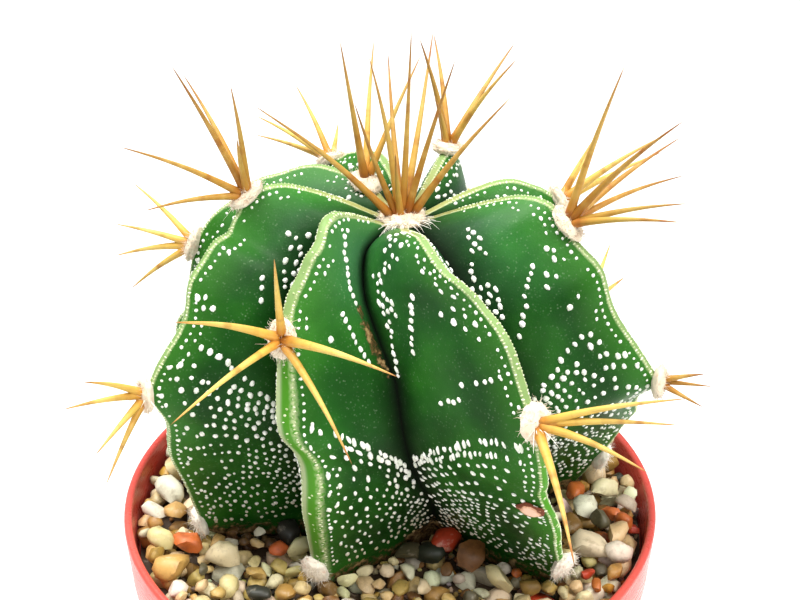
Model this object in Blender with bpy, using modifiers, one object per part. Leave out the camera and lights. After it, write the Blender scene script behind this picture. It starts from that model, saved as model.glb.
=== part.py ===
# Young monk's hood cactus (Astrophytum ornatum) in a thin plastic nursery pot.
# +Z up, origin at the centre of the pot's flat underside. Sizes below are in millimetres
# and degrees, and MM turns them into Blender's metres.
# A compass angle starts at the front (-Y) and grows towards the right (+X).
import math
import random

import bmesh
import bpy
from mathutils import Matrix, Vector
from mathutils.bvhtree import BVHTree

MM = 0.001
GAP = 0.3

POT_HEIGHT = 80.0
POT_RIM_RADIUS = 45.0
POT_BASE_RADIUS = 32.5
POT_WALL = 1.4
POT_FLOOR = 1.6
BAND_HEIGHT = 10.0
BAND_DRAFT = 0.5
BAND_STEP = 1.9
BAND_EDGE_DROPS = (0.4, 1.2)
FOOT_BEVEL = 0.9
LIP_ARC_STEPS = 4
POT_SEGMENTS = 48
DRAIN_HOLES = 5
DRAIN_HOLE_RADIUS = 3.0
DRAIN_HOLE_SIDES = 14
DRAIN_CIRCLE_RADIUS = 20.0
CUT_OVERRUN = 2.0

SOIL_TOP = 67.5
GRAVEL_BED_TOP = 73.0
STONE_RADII = (2.1, 3.4)
STONE_SQUASH = (0.6, 0.85)
STONE_LUMPS = 0.08
STONE_TILT = 0.3
STONE_SINK = 0.1
STONE_SPACING = 0.94
STONE_TRIES = 6000
STONE_SIDES = (7, 5)
STONE_LIMIT = 76
STONE_SEED = 11

# The stem stands a little behind and to the right of the pot's centre. Its heights are
# counted from where it meets the gravel.
STEM_CENTRE = (2.0, 2.0)
STEM_GROUND = 76.0
UNDERSIDE_DEPTH = 2.7
NECK_RADIUS = 8.0
NECK_DEPTH = 22.0
NECK_SIDES = 32
# Rings that close the underside: share drawn in to the neck, and share of its depth.
UNDERSIDE_RINGS = ((0.06, 0.6), (0.2, 1.0), (1.0, 1.0))
STEM_ROWS = 26
# Step along a crest, as a share, over which its slope is taken.
SLOPE_STEP = 0.01
CORE_HEIGHT = 25.0
# Crest and groove outlines at equal steps from the sunken crown to the foot of a rib.
CREST_RADIUS = (3.0, 18.0, 25.0, 29.0, 34.0, 40.0, 38.5, 37.0, 31.0)
CREST_HEIGHT = (54.5, 59.0, 57.0, 54.5, 48.5, 35.0, 27.0, 17.5, 0.0)
GROOVE_RADIUS = (2.4, 10.0, 15.0, 18.5, 21.5, 23.0, 22.0, 18.0, 11.0)
GROOVE_LEAN = 0.14
GROOVE_HEIGHT = (54.1, 51.0, 47.5, 44.0, 38.0, 28.0, 20.5, 12.5, 0.0)
CREST_HALF_WIDTH = 1.2
CREST_DROP = 0.45
FACE_BULGE = 1.1
FACE_STEPS = (0.3, 0.65)
FACE_FOCUS_DROP = 14.0
# Near the crown the faces are narrow, so the crest's width and the bulge shrink with them.
CREST_WIDTH_LIMIT = 0.35
BULGE_LIMIT = 0.08
CROWN_SHARE = 0.12

# One line for each rib, anticlockwise from above: compass angle at the crown, at half way
# and near the foot, its reach and rise against the shared outline, and how far its foot
# turns aside in the lowest third.
RIBS = {
    "front_left": (-48, -36, -28, 0.78, 1.03, -7.5),
    "front_right": (10, 25, 31, 1.06, 1.04, 20),
    "right": (84, 66, 101, 1.02, 1.03, 0),
    "back_right": (114, 108, 137, 0.9, 0.99, 0),
    "back": (150, 162, 174, 0.83, 1.01, 0),
    "back_middle": (182, 203, 211, 1.05, 0.94, 0),
    "back_left": (202, 253, 247, 1.01, 0.96, 0),
    "left": (253, 292, 282, 1.04, 1.02, 0),
}
FOOT_START = 0.7
# Swellings and waists of the crests. Each is the share of the way down, how far out it
# stands, and its half width as a share.
CREST_RIPPLES = {
    "front_right": ((0.78, 1.2, 0.035),),
    "right": ((0.2, 1.1, 0.06), (0.53, -1.6, 0.06), (0.75, -0.8, 0.05)),
    "back_right": ((0.49, -2.8, 0.08),),
    "back_left": ((0.62, -3.4, 0.075),),
    "left": ((0.3, -2.0, 0.06), (0.54, -1.8, 0.045), (1.0, 1.8, 0.07)),
}
# Crests that stray sideways: share, distance anticlockwise from above, half width.
CREST_SHIFTS = {
    "front_left": ((0.25, 1.0, 0.07), (0.49, -1.4, 0.09), (0.83, 1.8, 0.13)),
    "front_right": ((0.19, -2.5, 0.17), (0.9, -1.0, 0.05)),
}
# Grooves that stand aside: distance anticlockwise, the share where it is most, and where it ends.
GROOVE_SHIFTS = {"front_left": (-3.4, 0.14, 0.52), "front_right": (-3.2, 0.35, 0.95)}

PAD_HALF_LENGTH = 2.9
PAD_HALF_WIDTH = 2.3
PAD_HALF_HEIGHT = 1.1
PAD_LIFT = 0.3
PAD_SIDES = (7, 5)
SHARPEST_GROWTH = 1.6
HUB_RADIUS = 1.25
HUB_HALF_HEIGHT = 0.7
HUB_LIFT = PAD_LIFT + PAD_HALF_HEIGHT + GAP + HUB_HALF_HEIGHT
SPINE_ROOT_RADIUS = 0.62
SPINE_TIP_RADIUS = 0.1
SPINE_POINTS = 3
SPINE_BOW = 0.03

# Areoles on each rib: how far down the crest, from 0 at the crown to 1 at the foot, and
# the spines, as compass angle, angle above the horizontal and length. Areoles at the foot
# have lost theirs.
AREOLES = {
    "front_left": {
        "mid": (0.53, ((12, 68, 18), (311, 30, 18.5), (328, -3, 23), (35, -26, 22.5), (49, 9, 24))),
        "foot": (0.985, ()),
    },
    "front_right": {
        "mid": (0.573, ((56, 31, 23), (55, 22, 21), (40, 8, 18.5), (7, -21, 21.5))),
        "foot": (0.95, ()),
    },
    "right": {
        "upper": (0.258, ((45, 76, 25.5), (57, 51, 23.5), (125, 20, 21.5), (124, 2, 21.5), (59, 20, 17.5),
                          (45, 16, 18.5))),
        "mid": (0.65, ((60, 35, 6), (75, 5, 6), (45, -15, 6))),
        "foot": (0.95, ()),
    },
    "back_right": {
        "upper": (0.38, ((96, 34, 17), (118, 12, 18), (150, 30, 12), (135, 58, 10))),
        "mid": (0.7, ((150, 0, 12), (165, 25, 14), (175, -15, 14))),
        "foot": (0.95, ()),
    },
    "back": {
        "upper": (0.158, ((191, 45, 18), (296, 72, 18), (138, 34, 20), (69, 53, 18), (323, 62, 9))),
        "mid": (0.55, ((175, -10, 13), (150, -20, 12), (200, -20, 12), (178, 20, 11))),
        "foot": (0.93, ()),
    },
    "back_middle": {
        "mid": (0.445, ((209, 30, 15), (244, -1, 15), (256, 20, 14), (170, 10, 8))),
        "foot": (0.92, ()),
    },
    "back_left": {
        "crown": (0.062, ((301, 79, 23), (176, 47, 22.5), (138, 51, 20.5))),
        "mid": (0.525, ((226, 26, 14), (247, 1, 13), (252, -22, 14), (263, -46, 14))),
        "foot": (0.95, ()),
    },
    "left": {
        "upper": (0.195, ((312, 65, 24), (212, 34, 21.5), (3, 78, 18), (9, 61, 11.5), (301, 30, 21),
                          (310, 3, 16.5))),
        "mid": (0.645, ((325, 40, 12), (318, 18, 13), (340, -14, 12), (345, -36, 14))),
        "foot": (0.985, ()),
    },
}
CROWN_PAD_HALF_WIDTH = 3.6
CROWN_SPINES = ((290, 41, 30), (296, 67, 20), (246, 77, 24), (187, 46, 25.5), (113, 87, 28),
                (165, 48, 29), (80, 72, 25.5), (93, 47, 24), (344, 70, 11))

POT_RED = (0.42, 0.06, 0.045, 1)
SOIL_BROWN = (0.05, 0.035, 0.025, 1)
STONE_BUFF = (0.55, 0.45, 0.32, 1)
STEM_GREEN = (0.03, 0.16, 0.045, 1)
WOOL_CREAM = (0.8, 0.76, 0.68, 1)
SPINE_AMBER = (0.62, 0.3, 0.08, 1)


def clear_scene():
    for item in list(bpy.data.objects):
        bpy.data.objects.remove(item, do_unlink=True)


def new_collection(name, hidden=False):
    collection = bpy.data.collections.new(name)
    collection.hide_render = hidden
    bpy.context.scene.collection.children.link(collection)
    return collection


def new_material(name, colour, roughness):
    material = bpy.data.materials.new(name)
    material.use_nodes = True
    shader = material.node_tree.nodes["Principled BSDF"]
    shader.inputs["Base Color"].default_value = colour
    shader.inputs["Roughness"].default_value = roughness
    shader.inputs["Metallic"].default_value = 0.0
    return material


def add_object(name, mesh, collection, material=None):
    thing = bpy.data.objects.new(name, mesh)
    collection.objects.link(thing)
    if material:
        mesh.materials.append(material)
    return thing


def mesh_from(bm, name):
    bmesh.ops.recalc_face_normals(bm, faces=bm.faces)
    mesh = bpy.data.meshes.new(name)
    bm.to_mesh(mesh)
    bm.free()
    mesh.shade_smooth()
    mesh.set_sharp_from_angle(angle=math.radians(40))
    return mesh


def hide_as_cutter(thing):
    thing.hide_render = True
    thing.display_type = "WIRE"
    return thing


def boolean(target, name, operation, cutter=None, collection=None):
    modifier = target.modifiers.new(name, "BOOLEAN")
    modifier.operation = operation
    modifier.solver = "EXACT"
    if collection:
        modifier.operand_type = "COLLECTION"
        modifier.collection = collection
    else:
        modifier.object = cutter
    return modifier


def baked_mesh(thing):
    bpy.context.view_layer.update()
    evaluated = thing.evaluated_get(bpy.context.evaluated_depsgraph_get())
    mesh = bpy.data.meshes.new_from_object(evaluated)
    mesh.name = thing.name
    return mesh


def fuse_repeats(target, repeats):
    boolean(target, "fuse", "UNION", collection=repeats)
    mesh = baked_mesh(target)
    target.modifiers.clear()
    target.data = mesh
    for item in list(repeats.objects):
        bpy.data.objects.remove(item, do_unlink=True)
    bpy.data.collections.remove(repeats)


def turned(name, profile, collection, material):
    mesh = bpy.data.meshes.new(name)
    points = [(radius * MM, 0.0, height * MM) for radius, height in profile]
    mesh.from_pydata(points, [(i, i + 1) for i in range(len(points) - 1)], [])
    thing = add_object(name, mesh, collection, material)
    screw = thing.modifiers.new("turn", "SCREW")
    screw.axis = "Z"
    screw.angle = math.tau
    screw.steps = screw.render_steps = POT_SEGMENTS
    screw.use_merge_vertices = True
    screw.merge_threshold = 0.00001
    screw.use_smooth_shade = True
    return thing


def cylinders(name, radius, bottom, top, centres, segments, collection):
    bm = bmesh.new()
    for x, y in centres:
        place = Matrix.Translation(Vector((x, y, (bottom + top) / 2)) * MM)
        bmesh.ops.create_cone(bm, cap_ends=True, segments=segments, radius1=radius * MM,
                              radius2=radius * MM, depth=(top - bottom) * MM, matrix=place)
    return hide_as_cutter(add_object(name, mesh_from(bm, name), collection))


# The pot

def pot_wall_radius(height):
    """Outer radius of the tapering wall under the rim band."""
    top = POT_HEIGHT - BAND_HEIGHT
    share = min(height / top, 1.0)
    return POT_BASE_RADIUS + (POT_RIM_RADIUS - BAND_DRAFT - BAND_STEP - POT_BASE_RADIUS) * share


def inner_radius(height):
    """Inner radius of the pot, which steps outwards inside the rim band."""
    band_bottom = POT_HEIGHT - BAND_HEIGHT
    if height <= band_bottom:
        return pot_wall_radius(height) - POT_WALL
    band = POT_RIM_RADIUS - BAND_DRAFT - POT_WALL
    return min(band, pot_wall_radius(band_bottom) - POT_WALL + (height - band_bottom))


def lip_arc():
    centre_radius = POT_RIM_RADIUS - POT_WALL / 2
    centre_height = POT_HEIGHT - POT_WALL / 2
    turns = [math.pi * (1 - i / LIP_ARC_STEPS) for i in range(LIP_ARC_STEPS + 1)]
    return [(centre_radius + POT_WALL / 2 * math.cos(turn),
             centre_height + POT_WALL / 2 * math.sin(turn)) for turn in turns]


def build_pot(collection, cutters, material):
    band_bottom = POT_HEIGHT - BAND_HEIGHT
    band_inner = POT_RIM_RADIUS - BAND_DRAFT - POT_WALL
    ledge = band_bottom + band_inner - (pot_wall_radius(band_bottom) - POT_WALL)
    profile = [(0.0, POT_FLOOR), (inner_radius(POT_FLOOR), POT_FLOOR),
               (inner_radius(band_bottom), band_bottom), (band_inner, ledge)]
    profile += lip_arc()
    profile += [(POT_RIM_RADIUS - BAND_DRAFT, band_bottom - BAND_EDGE_DROPS[0]),
                (pot_wall_radius(band_bottom), band_bottom - BAND_EDGE_DROPS[1]),
                (POT_BASE_RADIUS, FOOT_BEVEL), (POT_BASE_RADIUS - FOOT_BEVEL, 0.0), (0.0, 0.0)]
    pot = turned("pot", profile, collection, material)
    turns = [math.tau * (i + 0.5) / DRAIN_HOLES for i in range(DRAIN_HOLES)]
    centres = [(DRAIN_CIRCLE_RADIUS * math.sin(turn), -DRAIN_CIRCLE_RADIUS * math.cos(turn))
               for turn in turns]
    holes = cylinders("drain_holes", DRAIN_HOLE_RADIUS, -CUT_OVERRUN, POT_FLOOR + CUT_OVERRUN,
                      centres, DRAIN_HOLE_SIDES, cutters)
    boolean(pot, "drain", "DIFFERENCE", cutter=holes)
    return pot


# The soil and the gravel dressing

def build_soil(collection, cutters, material):
    floor = POT_FLOOR + GAP
    profile = [(0.0, SOIL_TOP), (inner_radius(SOIL_TOP) - GAP, SOIL_TOP),
               (inner_radius(floor) - GAP, floor), (0.0, floor)]
    soil = turned("soil", profile, collection, material)
    pocket = cylinders("soil_pocket", NECK_RADIUS + GAP, STEM_GROUND - NECK_DEPTH - GAP,
                       SOIL_TOP + CUT_OVERRUN, [STEM_CENTRE], NECK_SIDES, cutters)
    boolean(soil, "pocket", "DIFFERENCE", cutter=pocket)
    return soil


def stone_mesh(radius, rng):
    bm = bmesh.new()
    around, down = STONE_SIDES
    bmesh.ops.create_uvsphere(bm, u_segments=around, v_segments=down, radius=radius * MM)
    for vert in bm.verts:
        vert.co *= 1 + rng.uniform(-STONE_LUMPS, STONE_LUMPS)
    return mesh_from(bm, "stone")


def stone_places(rng, stem_tree):
    """Loose packing of stones on the bed, clear of the stem, the wall and each other."""
    places = []
    foot_seats = [crest_point(rib, areoles["foot"][0]) for rib, areoles in AREOLES.items()]
    for _ in range(STONE_TRIES):
        radius = rng.uniform(*STONE_RADII)
        turn, share = rng.uniform(0, math.tau), math.sqrt(rng.random())
        reach = share * (inner_radius(GRAVEL_BED_TOP) - GAP - radius * (1 + STONE_LUMPS))
        spot = Vector((reach * math.sin(turn), -reach * math.cos(turn),
                       GRAVEL_BED_TOP + radius * STONE_SINK))
        if (spot.xy - Vector(STEM_CENTRE)).length < 2 * NECK_RADIUS:
            continue
        stem_distance = stem_tree.find_nearest(spot * MM)[3] / MM
        if stem_distance < radius * (1 + STONE_LUMPS) + GAP:
            continue
        if any((spot - seat).length < radius + PAD_HALF_LENGTH + GAP for seat in foot_seats):
            continue
        if any((spot - other).length < (radius + size) * STONE_SPACING for other, size in places):
            continue
        places.append((spot, radius))
        if len(places) == STONE_LIMIT:
            break
    return places


def build_gravel(collection, cutters, material, stem_tree):
    bottom = SOIL_TOP + GAP
    band_bottom = POT_HEIGHT - BAND_HEIGHT
    wide = inner_radius(GRAVEL_BED_TOP) - GAP
    ledge = band_bottom + wide - inner_radius(band_bottom) + GAP
    profile = [(0.0, GRAVEL_BED_TOP), (wide, GRAVEL_BED_TOP), (wide, ledge + GAP),
               (inner_radius(band_bottom) - GAP, band_bottom + GAP),
               (inner_radius(bottom) - GAP, bottom), (0.0, bottom)]
    gravel = turned("gravel", profile, collection, material)
    hole = cylinders("gravel_hole", NECK_RADIUS + 2 * GAP, bottom - CUT_OVERRUN,
                     GRAVEL_BED_TOP + CUT_OVERRUN, [STEM_CENTRE], NECK_SIDES, cutters)
    boolean(gravel, "hole", "DIFFERENCE", cutter=hole)
    rng = random.Random(STONE_SEED)
    stones = new_collection("stones")
    for spot, radius in stone_places(rng, stem_tree):
        stone = add_object("stone", stone_mesh(radius, rng), stones)
        stone.location = spot * MM
        stone.rotation_euler = (rng.uniform(-STONE_TILT, STONE_TILT),
                                rng.uniform(-STONE_TILT, STONE_TILT), rng.uniform(0, math.tau))
        stone.scale = (1.0, rng.uniform(*STONE_SQUASH), rng.uniform(*STONE_SQUASH))
    fuse_repeats(gravel, stones)
    return gravel


# The ribbed stem

def along(values, share):
    """Smooth curve through evenly spaced values, for a share from 0 to 1."""
    last = len(values) - 1
    place = min(max(share, 0.0) * last, last - 1e-9)
    i = int(place)
    u = place - i
    before = values[i - 1] if i else 2 * values[0] - values[1]
    after = values[i + 2] if i + 2 <= last else 2 * values[last] - values[last - 1]
    here, there = values[i], values[i + 1]
    return 0.5 * (2 * here + (there - before) * u + (2 * before - 5 * here + 4 * there - after) * u * u
                  + (3 * here - before - 3 * there + after) * u ** 3)


def rib_angle(rib, share):
    crown, middle, foot, _, _, aside = RIBS[rib]
    u = 2 * share - 1
    low = max(share - FOOT_START, 0) / (1 - FOOT_START)
    sweep = middle + (foot - crown) / 2 * u + ((crown + foot) / 2 - middle) * u * u
    return math.radians(sweep + aside * low * low)


def rib_aside(rib, share):
    """Level direction across the rib, anticlockwise from above."""
    angle = rib_angle(rib, share)
    return Vector((math.cos(angle), math.sin(angle), 0))


def from_compass(angle, radius, height):
    return Vector((STEM_CENTRE[0] + radius * math.sin(angle),
                   STEM_CENTRE[1] - radius * math.cos(angle), STEM_GROUND + height))


def rib_rise(rib, share):
    """Full over the shoulder, and fading to none at the crown and at the foot."""
    return 1 + (RIBS[rib][4] - 1) * (1 - share) * min(share / CROWN_SHARE, 1)


def humps(places, share):
    """Sum of smooth humps, each given as its share, height and half width."""
    return sum(height * math.exp(-((share - place) / width) ** 2) for place, height, width in places)


def crest_point(rib, share):
    """A ripple pushes the crest square to its own outline, and a shift pushes it sideways."""
    radius = along(CREST_RADIUS, share) * RIBS[rib][3]
    height = along(CREST_HEIGHT, share) * rib_rise(rib, share)
    before, after = share - SLOPE_STEP, share + SLOPE_STEP
    slope = Vector((along(CREST_RADIUS, after) - along(CREST_RADIUS, before),
                    along(CREST_HEIGHT, after) - along(CREST_HEIGHT, before)))
    push = Vector((-slope.y, slope.x)).normalized() * humps(CREST_RIPPLES.get(rib, ()), share)
    point = from_compass(rib_angle(rib, share), radius + push.x, height + push.y)
    return point + rib_aside(rib, share) * humps(CREST_SHIFTS.get(rib, ()), share)


def groove_point(rib, next_rib, share):
    first, second = rib_angle(rib, share), rib_angle(next_rib, share)
    if second < first:
        second += math.tau
    reach = (RIBS[rib][3] + RIBS[next_rib][3]) / 2
    rise = (rib_rise(rib, share) + rib_rise(next_rib, share)) / 2
    middle = first + (second - first) * (0.5 + GROOVE_LEAN * share * share)
    point = from_compass(middle, along(GROOVE_RADIUS, share) * reach, along(GROOVE_HEIGHT, share) * rise)
    aside, most, end = GROOVE_SHIFTS.get(rib, (0.0, 0.5, 0.0))
    if share >= end:
        return point
    away = (most - share) / most if share < most else (share - most) / (end - most)
    return point + Vector((math.cos(middle), math.sin(middle), 0)) * aside * (1 - away * away)


def face_points(crest, groove, aside, outward):
    """Edge of the blunt crest, then the slightly swollen face, down to the groove."""
    reach = groove - crest
    width = min(CREST_HALF_WIDTH, reach.dot(aside) * CREST_WIDTH_LIMIT)
    inward = (reach - aside * reach.dot(aside)).normalized()
    edge = crest + aside * width + inward * CREST_DROP * width / CREST_HALF_WIDTH
    across = (groove - edge).normalized()
    swell = min(FACE_BULGE, reach.length * BULGE_LIMIT)
    bulge = (outward - across * outward.dot(across)).normalized() * swell
    points = [edge]
    for step in FACE_STEPS:
        points.append(edge.lerp(groove, step) + bulge * math.sin(math.pi * step))
    return points


def stem_row(share):
    names = list(RIBS)
    row = []
    for rib, next_rib in zip(names, names[1:] + names[:1]):
        groove = groove_point(rib, next_rib, share)
        here, there = crest_point(rib, share), crest_point(next_rib, share)
        focus = from_compass(0, 0, along(GROOVE_HEIGHT, share) - FACE_FOCUS_DROP)
        outward = (groove - focus).normalized()
        row.append(here)
        row += face_points(here, groove, rib_aside(rib, share), outward)
        row.append(groove)
        row += reversed(face_points(there, groove, -rib_aside(next_rib, share), outward))
    return row


def drawn_in(row, radius, share, height):
    """A level ring with the row's outline, drawn in towards a circle round the axis."""
    ring = []
    for point in row:
        flat = Vector((point.x - STEM_CENTRE[0], point.y - STEM_CENTRE[1]))
        flat = flat.lerp(flat.normalized() * radius, share)
        ring.append(Vector((STEM_CENTRE[0] + flat.x, STEM_CENTRE[1] + flat.y, STEM_GROUND + height)))
    return ring


def stem_mesh():
    rows = [stem_row(i / STEM_ROWS) for i in range(1, STEM_ROWS + 1)]
    rows.insert(0, drawn_in(rows[0], CREST_RADIUS[0], 1.0, CREST_HEIGHT[0]))
    foot = rows[-1]
    for drawn, depth in UNDERSIDE_RINGS:
        rows.append(drawn_in(foot, NECK_RADIUS, drawn, -UNDERSIDE_DEPTH * depth))
    rows.append(drawn_in(foot, NECK_RADIUS, 1.0, -NECK_DEPTH))
    bm = bmesh.new()
    rings = [[bm.verts.new(point * MM) for point in row] for row in rows]
    for upper, lower in zip(rings, rings[1:]):
        for i, vert in enumerate(upper):
            j = (i + 1) % len(upper)
            bm.faces.new((vert, upper[j], lower[j], lower[i]))
    bm.faces.new(rings[0])
    bm.faces.new(reversed(rings[-1]))
    bmesh.ops.triangulate(bm, faces=bm.faces)
    return mesh_from(bm, "stem")


def clearance_copy(mesh, name, distance, cutters):
    """The same surface grown outwards, to cut a running gap into what sits on it."""
    bm = bmesh.new()
    bm.from_mesh(mesh)
    moves = [vert.normal * distance * MM * min(vert.calc_shell_factor(), SHARPEST_GROWTH)
             for vert in bm.verts]
    for vert, move in zip(bm.verts, moves):
        vert.co += move
    return hide_as_cutter(add_object(name, mesh_from(bm, name), cutters))


# The areoles, each a pad of wool with its spray of spines

def areole_frame(rib, share):
    """Seat on the crest with its axes: along the crest, across it, and outwards."""
    seat = crest_point(rib, share)
    ahead = (crest_point(rib, share + SLOPE_STEP) - crest_point(rib, share - SLOPE_STEP)).normalized()
    outward = ahead.cross(rib_aside(rib, share)).normalized()
    if outward.dot(seat - from_compass(0, 0, CORE_HEIGHT)) < 0:
        outward.negate()
    across = outward.cross(ahead)
    return seat, Matrix((ahead, across, outward)).transposed()


def spine(root, direction, length, collection):
    """A tapering awl, bowed a little upwards, as a closed mesh."""
    curve = bpy.data.curves.new("spine", "CURVE")
    curve.dimensions = "3D"
    curve.bevel_depth = MM
    curve.bevel_resolution = 1
    curve.use_fill_caps = True
    line = curve.splines.new("POLY")
    line.points.add(SPINE_POINTS - 1)
    for i, point in enumerate(line.points):
        share = i / (SPINE_POINTS - 1)
        bow = Vector((0, 0, 1)) * SPINE_BOW * length * math.sin(math.pi * share)
        place = (root + direction * length * share + bow) * MM
        point.co = (*place, 1.0)
        point.radius = SPINE_ROOT_RADIUS + (SPINE_TIP_RADIUS - SPINE_ROOT_RADIUS) * share
    tube = bpy.data.objects.new("spine", curve)
    collection.objects.link(tube)
    mesh = baked_mesh(tube)
    bpy.data.objects.remove(tube, do_unlink=True)
    bm = bmesh.new()
    bm.from_mesh(mesh)
    bmesh.ops.remove_doubles(bm, verts=bm.verts, dist=0.00001)
    return add_object("spine", mesh_from(bm, "spine"), collection)


def compass_direction(angle, rise):
    angle, rise = math.radians(angle), math.radians(rise)
    return Vector((math.sin(angle) * math.cos(rise), -math.cos(angle) * math.cos(rise),
                   math.sin(rise)))


def ellipsoid(bm, half_sizes, axes, centre):
    """Squash and turn the unit ball in bm, and set it at its centre."""
    bmesh.ops.scale(bm, verts=bm.verts, vec=Vector(half_sizes) * MM)
    bmesh.ops.transform(bm, verts=bm.verts, matrix=axes.to_4x4())
    bmesh.ops.translate(bm, verts=bm.verts, vec=centre * MM)


def pad(name, frame, half_sizes, collection, material):
    seat, axes = frame
    bm = bmesh.new()
    bmesh.ops.create_uvsphere(bm, u_segments=PAD_SIDES[0], v_segments=PAD_SIDES[1], radius=1.0)
    ellipsoid(bm, half_sizes, axes, seat + axes.col[2] * PAD_LIFT)
    return add_object(name, mesh_from(bm, name), collection, material)


def build_spray(name, hub, axes, spines, collection, material):
    bm = bmesh.new()
    bmesh.ops.create_icosphere(bm, subdivisions=2, radius=1.0)
    ellipsoid(bm, (HUB_RADIUS, HUB_RADIUS, HUB_HALF_HEIGHT), axes, hub)
    spray = add_object(name, mesh_from(bm, name), collection, material)
    repeats = new_collection(name + "_repeats")
    for direction, length in spines:
        spine(hub, direction, length, repeats)
    fuse_repeats(spray, repeats)
    return spray


def crown_frame():
    seat = from_compass(0, 0, CREST_HEIGHT[0])
    return seat, Matrix.Identity(3)


def build_areole(name, frame, half_sizes, spines, homes, materials):
    """One pad of wool, and over it the hub that its spines grow from."""
    seat, axes = frame
    wool, amber = materials
    cushion = pad("wool_" + name, frame, half_sizes, homes["parts"], wool)
    boolean(cushion, "seat", "DIFFERENCE", cutter=homes["stem_clearance"])
    if not spines:
        return
    hub = seat + axes.col[2] * HUB_LIFT
    rays = [(compass_direction(angle, rise), length) for angle, rise, length in spines]
    build_spray("spines_" + name, hub, axes, rays, homes["parts"], amber)


def build_areoles(homes, materials):
    sizes = (PAD_HALF_LENGTH, PAD_HALF_WIDTH, PAD_HALF_HEIGHT)
    for rib, areoles in AREOLES.items():
        for level, (share, spines) in areoles.items():
            build_areole(rib + "_" + level, areole_frame(rib, share), sizes, spines, homes, materials)
    crown = (CROWN_PAD_HALF_WIDTH, CROWN_PAD_HALF_WIDTH, PAD_HALF_HEIGHT)
    build_areole("crown", crown_frame(), crown, CROWN_SPINES, homes, materials)


def main():
    clear_scene()
    parts = new_collection("monks_hood_cactus")
    cutters = new_collection("cutters", hidden=True)
    red = new_material("terracotta plastic", POT_RED, 0.45)
    brown = new_material("potting soil", SOIL_BROWN, 0.95)
    buff = new_material("river gravel", STONE_BUFF, 0.7)
    green = new_material("cactus skin", STEM_GREEN, 0.45)
    cream = new_material("areole wool", WOOL_CREAM, 0.95)
    amber = new_material("spine horn", SPINE_AMBER, 0.4)

    build_pot(parts, cutters, red)
    build_soil(parts, cutters, brown)
    mesh = stem_mesh()
    add_object("stem", mesh, parts, green)
    stem_bm = bmesh.new()
    stem_bm.from_mesh(mesh)
    build_gravel(parts, cutters, buff, BVHTree.FromBMesh(stem_bm))
    stem_bm.free()
    homes = {"parts": parts, "cutters": cutters,
             "stem_clearance": clearance_copy(mesh, "stem_clearance", GAP, cutters)}
    build_areoles(homes, (cream, amber))


main()
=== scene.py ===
# Potted monk's hood cactus, Astrophytum ornatum: skin, flecks, wool, spines, pebbles, soil and pot.
# The dictionaries hold millimetres and degrees, and mm turns them into Blender's metres.
# A compass angle starts at the front (-Y) and grows towards the right (+X).
import math
import random
from functools import partial

import bmesh
import bpy
import numpy as np
from mathutils import Matrix, Vector, noise
from mathutils.bvhtree import BVHTree


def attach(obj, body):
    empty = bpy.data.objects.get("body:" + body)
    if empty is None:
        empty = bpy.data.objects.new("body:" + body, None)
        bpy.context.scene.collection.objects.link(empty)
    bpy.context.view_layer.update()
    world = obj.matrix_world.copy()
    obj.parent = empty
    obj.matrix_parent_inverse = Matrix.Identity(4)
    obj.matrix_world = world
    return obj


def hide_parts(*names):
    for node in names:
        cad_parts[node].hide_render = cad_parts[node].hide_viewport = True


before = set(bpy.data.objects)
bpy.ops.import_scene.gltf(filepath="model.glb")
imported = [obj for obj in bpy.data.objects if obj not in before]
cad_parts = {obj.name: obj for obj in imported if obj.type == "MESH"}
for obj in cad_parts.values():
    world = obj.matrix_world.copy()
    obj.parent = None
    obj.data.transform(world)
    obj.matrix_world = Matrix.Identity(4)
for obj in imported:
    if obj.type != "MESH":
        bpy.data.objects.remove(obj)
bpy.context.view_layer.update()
mm = 0.001


def deselect():
    if bpy.context.object and bpy.context.object.mode != "OBJECT":
        bpy.ops.object.mode_set(mode="OBJECT")
    bpy.ops.object.select_all(action="DESELECT")


def pick(piece):  # the one selected and active object
    deselect()
    piece.select_set(True)
    bpy.context.view_layer.objects.active = piece


def settle(piece, name, material, slot, *nodes):  # place goes into the mesh, then it rides and stands in
    pick(piece)
    bpy.ops.object.transform_apply()
    piece.name = piece.data.name = name
    piece.data.materials.clear()
    piece.data.materials.append(material)
    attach(piece, "root")
    if nodes:
        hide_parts(*nodes)


def closeUp():  # in edit mode: open ends are filled and faces turned outwards
    bpy.ops.mesh.select_all(action="SELECT")
    bpy.ops.mesh.fill_holes(sides=0)
    bpy.ops.mesh.select_all(action="SELECT")
    bpy.ops.mesh.normals_make_consistent(inside=False)
    bpy.ops.object.mode_set(mode="OBJECT")


def readList(data, key, wide=1):  # an array of one value each, or of a row of them
    flat = np.zeros(len(data) * wide)
    data.foreach_get(key, flat)
    return flat.reshape(-1, wide) if wide > 1 else flat


def setValues(mesh, name, values):  # a number on each vertex, or a colour for a tint, for the material
    kind, key = ("FLOAT_COLOR", "color") if name == "tint" else ("FLOAT", "value")
    layer = mesh.attributes.new(name, kind, "POINT")
    layer.data.foreach_set(key, np.asarray(values, np.float32).ravel())


def modelled(addPrimitive, shape=None):  # a small original as faces and coordinates, shaped by formula
    deselect()
    addPrimitive()
    piece = bpy.context.object
    mesh = piece.data
    coords = readList(mesh.vertices, "co", 3)
    if shape:
        coords = np.array([shape(Vector(point)) for point in coords])
    faces = [tuple(face.vertices) for face in mesh.polygons]
    bpy.data.objects.remove(piece, do_unlink=True)
    bpy.data.meshes.remove(mesh)
    return faces, coords


def ball(subdivisions, shape=None):
    addBall = partial(bpy.ops.mesh.primitive_ico_sphere_add, subdivisions=subdivisions, radius=1)
    return modelled(addBall, shape)


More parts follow.
